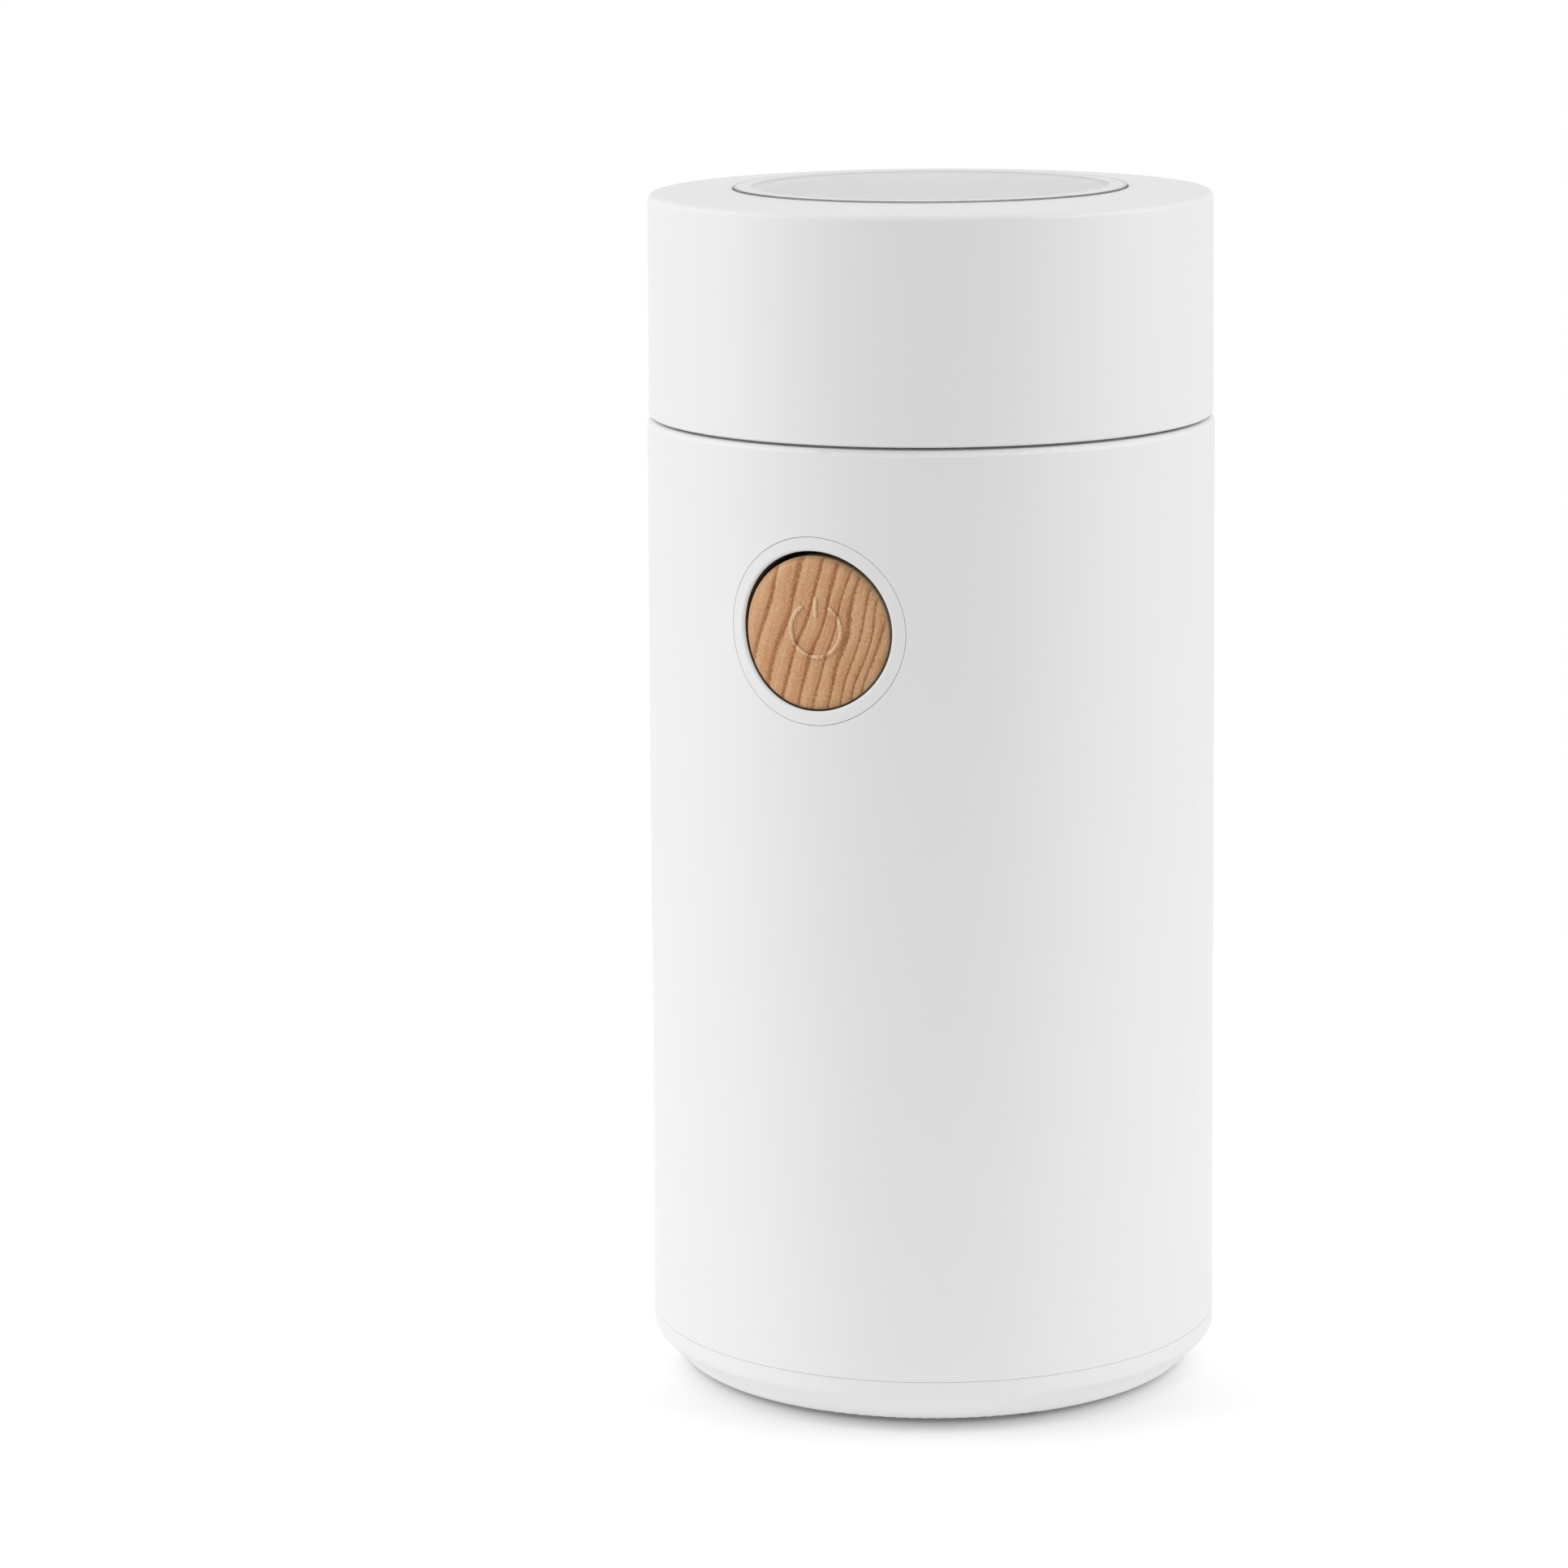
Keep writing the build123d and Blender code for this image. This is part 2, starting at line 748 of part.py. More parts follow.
with BuildPart() as interlock_pin:
    with BuildSketch(Plane.XY.offset(pin_bottom_z)):
        with Locations((0, pin_orbit)):
            Circle(pin_radius)
    extrude(amount=pin_top_z - pin_bottom_z)
    chamfer(interlock_pin.edges().group_by(Axis.Z)[-1], pin_chamfer)
    with BuildSketch(Plane.XY.offset(collar_bottom_z)):
        with Locations((0, pin_orbit)):
            Circle(pin_collar_radius)
    extrude(amount=pin_collar)
save(interlock_pin, "interlock_pin")

with BuildPart() as interlock_spring:
    spring_rise = pin_spring_length - pin_spring_wire - 2 * seat_clearance
    with BuildLine() as pin_spring_path:
        Helix(
            pitch=spring_rise / pin_spring_turns,
            height=spring_rise,
            radius=pin_spring_radius,
            center=(0, pin_orbit, tower_z + pin_spring_wire / 2 + seat_clearance),
        )
    pin_spring_start = Plane(
        origin=pin_spring_path.line @ 0, x_dir=(1, 0, 0), z_dir=pin_spring_path.line % 0
    )
    with BuildSketch(pin_spring_start):
        Rectangle(pin_spring_wire, pin_spring_wire)
    sweep(is_frenet=True)
save(interlock_spring, "interlock_spring")

with BuildPart() as interlock_switch:
    with BuildSketch(Plane.XY.offset(mount_top_z)):
        with Locations((0, pin_orbit - interlock_plunger)):
            Rectangle(interlock_length, interlock_width)
    extrude(amount=interlock_height)
    with BuildSketch(Plane.XY.offset(interlock_top_z)):
        with Locations((0, pin_orbit)):
            Circle(interlock_plunger)
    extrude(amount=pin_bottom_z - interlock_top_z - rest_gap)
    with BuildSketch(Plane.XY.offset(mount_top_z)):
        with Locations((0, pin_orbit - interlock_plunger)):
            with GridLocations(interlock_tab_pitch, 0, 3, 1):
                Rectangle(switch_tab_thickness * 2, switch_tab_thickness)
    extrude(amount=-mount_plate - switch_tab)
save(interlock_switch, "interlock_switch")

# ---------------------------------------------------------------------------
# Motor mount: round plate on the columns, with a hub up to the bowl's floor
# ---------------------------------------------------------------------------

mount_vents = [
    CenterArc((0, 0), mount_vent_ring_radius, middle - mount_vent_angle / 2, mount_vent_angle)
    for middle in (0, 180)
]

with BuildPart() as motor_mount:
    with BuildSketch(Plane.XY.offset(mount_z)):
        Circle(mount_radius)
    extrude(amount=mount_plate)
    with BuildSketch(Plane.XY.offset(mount_top_z)):
        Circle(mount_hub_radius)
    extrude(amount=mount_hub_height)
    with BuildSketch(Plane.XY.offset(mount_z)):
        Circle(bushing_radius + seat_clearance)
        with PolarLocations(column_orbit, column_count, start_angle=column_angle):
            Circle(screw_radius + seat_clearance)
        with PolarLocations(motor_screw_ring_radius, 2):
            Circle(screw_radius + seat_clearance)
        for vent in mount_vents:
            SlotArc(vent, mount_vent_width)
        with Locations((0, pin_orbit - interlock_plunger)):
            Rectangle(interlock_length - 2 * mount_tab_margin, interlock_width / 2)
    extrude(amount=mount_plate + mount_hub_height, mode=Mode.SUBTRACT)
save(motor_mount, "motor_mount")

with BuildPart() as mount_screws:
    with BuildSketch(Plane.XY.offset(mount_top_z)):
        with PolarLocations(column_orbit, column_count, start_angle=column_angle):
            Circle(screw_head_radius)
        with PolarLocations(motor_screw_ring_radius, 2):
            Circle(screw_head_radius)
    extrude(amount=screw_head_height)
    with BuildSketch(Plane.XY.offset(mount_top_z)):
        with PolarLocations(column_orbit, column_count, start_angle=column_angle):
            Circle(screw_radius)
    extrude(amount=-mount_plate - screw_grip)
    with BuildSketch(Plane.XY.offset(mount_top_z)):
        with PolarLocations(motor_screw_ring_radius, 2):
            Circle(screw_radius)
    extrude(amount=-mount_plate - damper_thickness - can_wall)
save(mount_screws, "mount_screws")

with BuildPart() as motor_damper:
    with BuildSketch(Plane.XY.offset(motor_top_z)):
        Circle(can_radius)
        Circle(damper_inner, mode=Mode.SUBTRACT)
        with PolarLocations(motor_screw_ring_radius, 2):
            Circle(screw_radius + seat_clearance, mode=Mode.SUBTRACT)
    extrude(amount=damper_thickness)
save(motor_damper, "motor_damper")

with BuildPart() as shaft_bushing:
    with BuildSketch(Plane.XY.offset(bowl_bottom_z - bushing_length)):
        Circle(bushing_radius)
        Circle(shaft_radius + running_clearance, mode=Mode.SUBTRACT)
    extrude(amount=bushing_length)
save(shaft_bushing, "shaft_bushing")

with BuildPart() as shaft_seal:
    with BuildSketch(Plane.XY.offset(bowl_bottom_z)):
        Circle(bowl_hole - seat_clearance)
    extrude(amount=bowl_wall)
    with BuildSketch(Plane.XY.offset(bowl_floor_z)):
        Circle(shaft_seal_radius)
    extrude(amount=shaft_seal_lip)
    chamfer(
        shaft_seal.edges().group_by(Axis.Z)[-1],
        shaft_seal_lip / 2,
    )
    with BuildSketch(Plane.XY.offset(bowl_bottom_z)):
        Circle(shaft_radius + running_clearance * 2)
    extrude(amount=bowl_wall + shaft_seal_lip, mode=Mode.SUBTRACT)
save(shaft_seal, "shaft_seal")

# ---------------------------------------------------------------------------
# Motor: can with a bearing pocket, end bell, magnets, brush gear
# ---------------------------------------------------------------------------

pocket_bottom_z = upper_bearing_z - bearing_slack

with BuildPart() as motor_can:
    with BuildSketch(Plane.XZ):
        with BuildLine():
            Polyline(
                (can_shaft_hole, motor_top_z),
                (can_radius, motor_top_z),
                (can_radius, can_bottom_z),
                (can_inner, can_bottom_z),
                (can_inner, motor_top_z - can_wall),
                (bearing_seat + bearing_wall, motor_top_z - can_wall),
                (bearing_seat + bearing_wall, pocket_bottom_z),
                (bearing_seat, pocket_bottom_z),
                (bearing_seat, motor_top_z - can_wall),
                (can_shaft_hole, motor_top_z - can_wall),
                close=True,
            )
        make_face()
    revolve(axis=Axis.Z)
    with BuildSketch(Plane.XY.offset(motor_top_z)):
        with PolarLocations(motor_screw_ring_radius, 2):
            Circle(screw_radius + seat_clearance)
    extrude(amount=-can_wall, mode=Mode.SUBTRACT)
    with BuildSketch(Plane.XZ.offset(-can_radius)):
        with Locations((0, brush_z)):
            Rectangle(can_window_width, can_window_height)
    extrude(amount=2 * can_radius, mode=Mode.SUBTRACT)
save(motor_can, "motor_can")

with BuildPart() as motor_end_bell:
    with BuildSketch(Plane.XZ):
        with BuildLine():
            Polyline(
                (can_shaft_hole, bell_z),
                (can_radius, bell_z),
                (can_radius, can_bottom_z),
                (can_inner - seat_clearance, can_bottom_z),
                (can_inner - seat_clearance, can_bottom_z + bell_rim),
                (can_inner - seat_clearance - bearing_wall, can_bottom_z + bell_rim),
                (can_inner - seat_clearance - bearing_wall, can_bottom_z),
                (bearing_seat + bearing_wall, can_bottom_z),
                (bearing_seat + bearing_wall, lower_bearing_z + bearing_height),
                (bearing_seat, lower_bearing_z + bearing_height),
                (bearing_seat, lower_bearing_z),
                (can_shaft_hole, lower_bearing_z),
                close=True,
            )
        make_face()
    revolve(axis=Axis.Z)
    with BuildSketch(Plane.XY.offset(bell_z)):
        with PolarLocations(bell_vent_ring_radius, bell_vent_count, start_angle=column_angle):
            Circle(bell_vent_radius)
    extrude(amount=bell_plate, mode=Mode.SUBTRACT)
save(motor_end_bell, "motor_end_bell")

with BuildPart() as motor_bearings:
    for level in (lower_bearing_z, upper_bearing_z):
        with BuildSketch(Plane.XY.offset(level)):
            Circle(bearing_radius)
            Circle(bearing_bore, mode=Mode.SUBTRACT)
        extrude(amount=bearing_height)
save(motor_bearings, "motor_bearings")

magnet_z = core_z + core_length / 2 - magnet_length / 2
magnet_arcs = [
    CenterArc(
        (0, 0), magnet_inner + magnet_thickness / 2, middle - magnet_angle / 2, magnet_angle
    )
    for middle in (90, 270)
]

with BuildPart() as motor_magnets:
    with BuildSketch(Plane.XY.offset(magnet_z)):
        for magnet_arc in magnet_arcs:
            trace(magnet_arc, magnet_thickness)
    extrude(amount=magnet_length)
save(motor_magnets, "motor_magnets")

brush_start = commutator_radius + brush_gap
brush_end = brush_start + brush_length
spring_seat = brush_end + brush_spring_length
box_width = brush_width + 2 * (seat_clearance + holder_wall)
box_height = brush_height + 2 * (seat_clearance + holder_wall)
box_start = brush_start + holder_setback
holder_foot_z = brush_z - box_height / 2 - can_bottom_z

with BuildPart() as brush_holders:
    with BuildSketch(Plane.XY.offset(can_bottom_z)):
        for side in (-1, 1):
            with Locations((side * (box_start + spring_seat) / 2, 0)):
                Rectangle(brush_length, brush_width)
    extrude(amount=holder_foot_z + holder_wall)
    with BuildSketch(Plane.XY.offset(brush_z - box_height / 2)):
        for side in (-1, 1):
            with Locations((side * (box_start + spring_seat + holder_wall) / 2, 0)):
                Rectangle(spring_seat + holder_wall - box_start, box_width)
    extrude(amount=box_height)
    with BuildSketch(Plane.XY.offset(brush_z - brush_height / 2 - seat_clearance)):
        Rectangle(2 * spring_seat, brush_width + 2 * seat_clearance)
    extrude(amount=brush_height + 2 * seat_clearance, mode=Mode.SUBTRACT)
save(brush_holders, "brush_holders")

with BuildPart() as carbon_brushes:
    with BuildSketch(Plane.XY.offset(brush_z - brush_height / 2)):
        for side in (-1, 1):
            with Locations((side * (brush_start + brush_length / 2), 0)):
                Rectangle(brush_length, brush_width)
    extrude(amount=brush_height)
save(carbon_brushes, "carbon_brushes")

with BuildPart() as brush_springs:
    brush_spring_rise = brush_spring_length - brush_spring_wire - 2 * seat_clearance
    for side in (-1, 1):
        spring_start = brush_end + brush_spring_wire / 2 + seat_clearance
        with BuildLine() as brush_spring_path:
            Helix(
                pitch=brush_spring_rise / brush_spring_turns,
                height=brush_spring_rise,
                radius=brush_spring_radius,
                center=(side * spring_start, 0, brush_z),
                direction=(side, 0, 0),
            )
        with BuildSketch(
            Plane(
                origin=brush_spring_path.line @ 0,
                x_dir=(0, 0, 1),
                z_dir=brush_spring_path.line % 0,
            )
        ):
            Rectangle(brush_spring_wire, brush_spring_wire)
        sweep(is_frenet=True)
save(brush_springs, "brush_springs")

# ---------------------------------------------------------------------------
# Rotor: shaft, slotted core with its coils, commutator, fan, blade and nut
# ---------------------------------------------------------------------------

with BuildPart() as motor_shaft:
    with BuildSketch(Plane.XY.offset(fan_z)):
        Circle(shaft_radius)
    extrude(amount=nut_z - fan_z)
    with BuildSketch(Plane.XY.offset(collar_z)):
        Circle(shaft_radius + bearing_wall)
    extrude(amount=blade_collar)
    with BuildSketch(Plane.XY.offset(nut_z)):
        Circle(shaft_thread)
    extrude(amount=nut_height)
save(motor_shaft, "motor_shaft")

with BuildPart() as armature_core:
    with BuildSketch(Plane.XY.offset(core_z)):
        Circle(core_radius)
        Circle(bearing_bore, mode=Mode.SUBTRACT)
        with PolarLocations(slot_ring_radius, core_slots):
            Circle(slot_radius, mode=Mode.SUBTRACT)
        mouth_end = core_radius + slot_overrun
        with PolarLocations((slot_ring_radius + mouth_end) / 2, core_slots):
            Rectangle(mouth_end - slot_ring_radius, slot_mouth, mode=Mode.SUBTRACT)
    extrude(amount=core_length)
save(armature_core, "armature_core")

coil_height = coil_overhang - coil_clearance

with BuildPart() as armature_windings:
    with BuildSketch(Plane.XY.offset(coil_z + coil_margin)):
        with PolarLocations(slot_ring_radius, core_slots):
            Circle(slot_radius - coil_clearance)
    extrude(amount=core_length + 2 * (coil_overhang - coil_margin))
    for level in (coil_z, core_top_z + coil_clearance):
        with BuildSketch(Plane.XZ) as coil_section:
            with Locations(((coil_inner + coil_outer) / 2, level + coil_height / 2)):
                Rectangle(coil_outer - coil_inner, coil_height)
            chamfer(coil_section.vertices(), coil_bevel)
        revolve(axis=Axis.Z)
save(armature_windings, "armature_windings")

with BuildPart() as commutator:
    with BuildSketch(Plane.XY.offset(commutator_z)):
        Circle(commutator_radius)
        Circle(bearing_bore, mode=Mode.SUBTRACT)
        with PolarLocations(commutator_radius, commutator_bars, start_angle=180 / commutator_bars):
            Rectangle(bearing_wall * 2, commutator_slit, mode=Mode.SUBTRACT)
    extrude(amount=commutator_length)
save(commutator, "commutator")

with BuildSketch() as fan_blade:
    with BuildLine():
        ThreePointArc(
            (fan_blade_root, 0),
            Vector((fan_blade_root + fan_radius) / 2, 0).rotate(Axis.Z, fan_lead),
            Vector(fan_radius - fan_blade_thickness, 0).rotate(Axis.Z, fan_sweep),
        )
    trace(line_width=fan_blade_thickness)

with BuildPart() as cooling_fan:
    with BuildSketch(Plane.XY.offset(fan_top_z - fan_plate)):
        Circle(fan_radius)
    extrude(amount=fan_plate)
    with BuildSketch(Plane.XY.offset(fan_z)):
        Circle(fan_hub_radius)
    extrude(amount=fan_height)
    with BuildSketch(Plane.XY.offset(fan_z)):
        with PolarLocations(0, fan_blades):
            add(fan_blade.sketch)
    extrude(amount=fan_height - fan_plate)
    with BuildSketch(Plane.XY.offset(fan_z)):
        Circle(bearing_bore)
    extrude(amount=fan_height, mode=Mode.SUBTRACT)
save(cooling_fan, "cooling_fan")

# The blade's wings are lofted through four sections that climb and turn
# towards the tip, each a flat bar with its leading edge ground to a bevel.
blade_sections = [
    # share of the wing's length, of its rise and of its pitch
    (0.0, 0.0, 0.0),
    (0.35, 0.08, 0.2),
    (0.7, 0.5, 0.7),
    (1.0, 1.0, 1.0),
]

with BuildPart() as blade_wing:
    wing_root = shaft_radius + 2 * bearing_wall - seat_clearance
    wing_length = blade_radius - wing_root
    for reach, rise, turn in blade_sections:
        half_width = (blade_root_width + (blade_tip_width - blade_root_width) * reach) / 2
        station = Plane(
            origin=(
                wing_root + wing_length * reach,
                0,
                blade_z + blade_thickness / 2 + blade_rise * rise,
            ),
            x_dir=Vector(0, 1, 0).rotate(Axis.X, blade_pitch * turn),
            z_dir=(1, 0, 0),
        )
        with BuildSketch(station):
            with BuildLine():
                Polyline(
                    (-half_width, -blade_thickness / 2),
                    (half_width, -blade_thickness / 2),
                    (half_width - blade_bevel, blade_thickness / 2),
                    (-half_width, blade_thickness / 2),
                    close=True,
                )
            make_face()
    loft()

with BuildPart() as blade:
    with PolarLocations(0, 2):
        add(blade_wing.part)
    with BuildSketch(Plane.XY.offset(blade_z)):
        Circle(blade_hub_radius)
    extrude(amount=blade_thickness)
    with BuildSketch(Plane.XY.offset(blade_z)):
        Circle(bearing_bore)
    extrude(amount=blade_thickness, mode=Mode.SUBTRACT)
save(blade, "blade")

with BuildPart() as blade_nut:
    with BuildSketch(Plane.XY.offset(nut_z)):
        RegularPolygon(nut_flats / 2, 6, major_radius=False)
    extrude(amount=nut_height)
    with BuildSketch(Plane.XY.offset(nut_z + nut_height)):
        Circle(nut_flats / 2 - bearing_slack)
    extrude(amount=nut_dome)
    fillet(blade_nut.edges().group_by(Axis.Z)[-1], nut_dome_edge)
    with BuildSketch(Plane.XY.offset(nut_z)):
        Circle(shaft_thread + bonded_clearance)
    extrude(amount=nut_height + bearing_slack, mode=Mode.SUBTRACT)
save(blade_nut, "blade_nut")

# ---------------------------------------------------------------------------
# Button: bezel flush with the housing, cap, carrier with its leg, spring
# ---------------------------------------------------------------------------


def front_outline(recess, depth):
    """Half section of a band that follows the housing's front, for revolving."""
    low, high = button_z - housing_top_radius / 2, button_z + housing_top_radius / 2
    outer_low, outer_high = housing_radius(low) - recess, housing_radius(high) - recess
    return [(outer_low - depth, low), (outer_low, low), (outer_high, high), (outer_high - depth, high)]


with BuildPart() as bezel_ring:
    with BuildSketch(Plane.XZ.offset(strap_outer)):
        with Locations((0, button_z)):
            Circle(bezel_flange_radius)
    extrude(amount=housing_top_radius)
    with BuildSketch(Plane.XZ):
        with BuildLine():
            Polyline(*front_outline(housing_wall + seat_clearance, bezel_flange), close=True)
        make_face()
    revolve(axis=Axis.Z, mode=Mode.INTERSECT)

with BuildPart() as button_bezel:
    with BuildSketch(Plane.XZ.offset(bezel_end)):
        with Locations((0, button_z)):
            Circle(bezel_radius)
    extrude(amount=housing_top_radius)
    with BuildSketch(Plane.XZ):
        with BuildLine():
            Polyline(*front_outline(0, housing_top_radius / 2), close=True)
        make_face()
    revolve(axis=Axis.Z, mode=Mode.INTERSECT)
    add(bezel_ring.part)
    with BuildSketch(Plane.XZ.offset(strap_inner)):
        with Locations((0, button_z)):
            Circle(bezel_opening)
    extrude(amount=housing_top_radius, mode=Mode.SUBTRACT)
    with BuildSketch(Plane.XZ.offset(strap_inner)):
        with Locations((0, button_z - bezel_radius)):
            Rectangle(leg_width + 2 * leg_slack, bezel_radius)
    extrude(amount=leg_front + leg_slack - strap_inner, mode=Mode.SUBTRACT)
    lip = button_bezel.faces().sort_by(Axis.Y)[0].edges().sort_by(SortBy.LENGTH)[0]
    fillet(lip, bezel_lip_radius)
save(button_bezel, "button_bezel")

with BuildPart() as button_cap:
    with BuildSketch(Plane.XZ.offset(cap_back)):
        with Locations((0, cap_z)):
            Circle(button_radius)
    extrude(amount=housing_top_radius - cap_back + button_radius)
    with BuildSketch(Plane.XZ):
        with BuildLine():
            Polyline(*front_outline(button_recess, housing_top_radius / 2), close=True)
        make_face()
    revolve(axis=Axis.Z, mode=Mode.INTERSECT)
    fillet(button_cap.faces().sort_by(Axis.Y)[0].edges(), button_edge_radius)
    with BuildSketch(Plane.XZ.offset(cap_back)):
        with Locations((0, cap_z)):
            Circle(button_radius - cap_wall)
    extrude(amount=cap_pocket, mode=Mode.SUBTRACT)
save(button_cap, "button_cap")

with BuildPart() as button_carrier:
    with BuildSketch(Plane.XZ.offset(carrier_back)):
        with Locations((0, cap_z)):
            Circle(button_radius - carrier_margin)
    extrude(amount=carrier_plate)
    with BuildSketch(Plane.XZ.offset(cap_back)):
        with Locations((0, cap_z)):
            Circle(button_radius - cap_wall - seat_clearance)
    extrude(amount=cap_pocket - seat_clearance)
    with BuildSketch(Plane.XZ.offset(carrier_back)):
        with Locations((0, cap_z)):
            Circle(spring_peg_radius)
    extrude(amount=-spring_peg)
    leg_length = cap_z - leg_root - leg_bottom_z
    with BuildSketch(Plane.XZ.offset(leg_back)):
        with Locations((0, leg_bottom_z + leg_length / 2)):
            Rectangle(leg_width, leg_length)
    extrude(amount=leg_thickness)
save(button_carrier, "button_carrier")

with BuildPart() as button_spring:
    button_spring_rise = carrier_back - strap_outer - spring_wire - 2 * seat_clearance
    with BuildLine() as button_spring_path:
        Helix(
            pitch=button_spring_rise / spring_turns,
            height=button_spring_rise,
            radius=spring_large_radius,
            center=(0, -carrier_back + spring_wire / 2 + seat_clearance, cap_z),
            direction=(0, 1, 0),
            cone_angle=-spring_cone,
        )
    with BuildSketch(
        Plane(
            origin=button_spring_path.line @ 0,
            x_dir=(0, 1, 0),
            z_dir=button_spring_path.line % 0,
        )
    ):
        Rectangle(spring_wire, spring_wire)
    sweep(is_frenet=True)
save(button_spring, "button_spring")

# ---------------------------------------------------------------------------
# Power switch: bracket, switch body and its plunger
# ---------------------------------------------------------------------------

with BuildPart() as switch_bracket:
    with BuildSketch(Plane.XZ.offset(strap_inner)):
        with Locations((0, (mount_top_z + bracket_top_z) / 2)):
            Rectangle(bracket_width, bracket_top_z - mount_top_z)
        with Locations((0, switch_z)):
            Circle(plunger_radius + leg_slack, mode=Mode.SUBTRACT)
    extrude(amount=bracket_sheet)
    with BuildSketch(Plane.XY.offset(mount_top_z)):
        with Locations((0, -strap_inner + switch_depth / 2)):
            Rectangle(bracket_width, switch_depth)
    extrude(amount=bracket_foot)
    tab_end = sqrt(
        (housing_radius(bracket_top_z) - housing_wall - bracket_tab_gap) ** 2
        - (bracket_width / 2) ** 2
    )
    with BuildSketch(Plane.XY.offset(bracket_top_z)):
        with Locations((0, -(strap_inner + tab_end) / 2)):
            Rectangle(bracket_width, tab_end - strap_inner)
    extrude(amount=-bracket_sheet)
save(switch_bracket, "switch_bracket")

plunger_end = strap_inner - plunger_insert

with BuildPart() as power_switch:
    with BuildSketch(Plane.XY.offset(mount_top_z + bracket_foot)):
        with Locations((0, -strap_inner + switch_depth / 2)):
            Rectangle(switch_length, switch_depth)
    extrude(amount=switch_height)
    with BuildSketch(Plane.XZ.offset(strap_inner)):
        with Locations((0, switch_z)):
            Circle(plunger_radius + running_clearance)
    extrude(amount=-(plunger_insert + button_travel + guide_clearance), mode=Mode.SUBTRACT)
    with BuildSketch(Plane.XZ.offset(strap_inner - switch_depth)):
        with Locations((0, switch_z)):
            with GridLocations(switch_tab_pitch, 0, 3, 1):
                Rectangle(switch_tab_thickness, switch_tab)
    extrude(amount=-switch_tab)
save(power_switch, "power_switch")

with BuildPart() as switch_plunger:
    with BuildSketch(Plane.XZ.offset(plunger_end)):
        with Locations((0, switch_z)):
            Circle(plunger_radius)
    extrude(amount=leg_back - rest_gap - plunger_end)
save(switch_plunger, "switch_plunger")

# ---------------------------------------------------------------------------
# Control board with its parts, and the thermal protector on the motor
# ---------------------------------------------------------------------------

with BuildPart() as circuit_board:
    with BuildSketch(Plane.XY.offset(board_z)):
        Circle(board_radius)
        with PolarLocations(standoff_orbit, standoff_count, start_angle=standoff_angle):
            Circle(board_screw_radius + seat_clearance, mode=Mode.SUBTRACT)
    extrude(amount=board_thickness)
save(circuit_board, "circuit_board")

with BuildPart() as board_screws:
    with BuildSketch(Plane.XY.offset(board_top_z)):
        with PolarLocations(standoff_orbit, standoff_count, start_angle=standoff_angle):
            Circle(board_screw_head)
    extrude(amount=screw_head_height)
    with BuildSketch(Plane.XY.offset(board_top_z)):
        with PolarLocations(standoff_orbit, standoff_count, start_angle=standoff_angle):
            Circle(board_screw_radius)
    extrude(amount=-board_thickness - board_screw_grip + board_thickness / 2)
save(board_screws, "board_screws")


def save_board_block(name, place, size):
    """Make one box-shaped part that stands on the board."""
    with BuildPart() as block:
        with BuildSketch(Plane.XY.offset(board_top_z)):
            with Locations(place):
                Rectangle(size[0], size[1])
        extrude(amount=size[2])
        chamfer(block.edges().group_by(Axis.Z)[-1], board_block_chamfer)
    save(block, name)


save_board_block("bridge_rectifier", rectifier_place, rectifier_size)
save_board_block("noise_capacitor", capacitor_place, capacitor_size)

with BuildPart() as terminal_block:
    with BuildSketch(Plane.XY.offset(board_top_z)):
        with Locations(terminal_place):
            Rectangle(terminal_size[0], terminal_size[1])
    extrude(amount=terminal_size[2])
    chamfer(terminal_block.edges().group_by(Axis.Z)[-1], board_block_chamfer)
    with BuildSketch(Plane.XY.offset(board_top_z + terminal_size[2])):
        with Locations(terminal_place):
            with GridLocations(terminal_pitch, 0, terminal_poles, 1):
                Circle(terminal_well_radius)
    extrude(amount=-terminal_well_depth, mode=Mode.SUBTRACT)
    with BuildSketch(Plane.XZ.offset(-terminal_place[1] - terminal_size[1] / 2)):
        with Locations((terminal_place[0], board_top_z + terminal_entry_height)):
            with GridLocations(terminal_pitch, 0, terminal_poles, 1):
                Rectangle(terminal_entry, terminal_entry)
    extrude(amount=terminal_entry_depth, mode=Mode.SUBTRACT)
save(terminal_block, "terminal_block")

with BuildPart() as varistor:
    with BuildSketch(Plane.XY.offset(board_top_z)):
        with Locations(varistor_place):
            with GridLocations(0, varistor_radius, 1, 2):
                Circle(varistor_lead / 2)
    extrude(amount=varistor_lead + varistor_radius)
    with BuildSketch(Plane.YZ.offset(varistor_place[0] - varistor_thickness / 2)):
        with Locations((varistor_place[1], board_top_z + varistor_lead + varistor_radius)):
            Circle(varistor_radius)
    extrude(amount=varistor_thickness)
save(varistor, "varistor")

with BuildPart() as thermal_protector:
    with BuildSketch(Plane.XY.offset(core_z)):
        with Locations((can_radius + protector_size[0] / 2 - bearing_wall, 0)):
            Rectangle(protector_size[0] + bearing_wall, protector_size[1])
        Circle(can_radius + seat_clearance, mode=Mode.SUBTRACT)
    extrude(amount=protector_size[2])
save(thermal_protector, "thermal_protector")
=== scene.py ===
"""Looks of a compact electric spice grinder.

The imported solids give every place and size. This script dresses each of them in a
finish of its own, adds the raised mark on the button and the round-wire springs, and
sets up a pale studio with a floor, soft lamps and a camera. Lengths are in metres, and
angles in radians, apart from those of the lamps, which are in degrees.
"""

import json
import logging
import math
from dataclasses import dataclass, fields
from enum import Enum

import bmesh
import bpy
from mathutils import Matrix, Vector
from mathutils.bvhtree import BVHTree

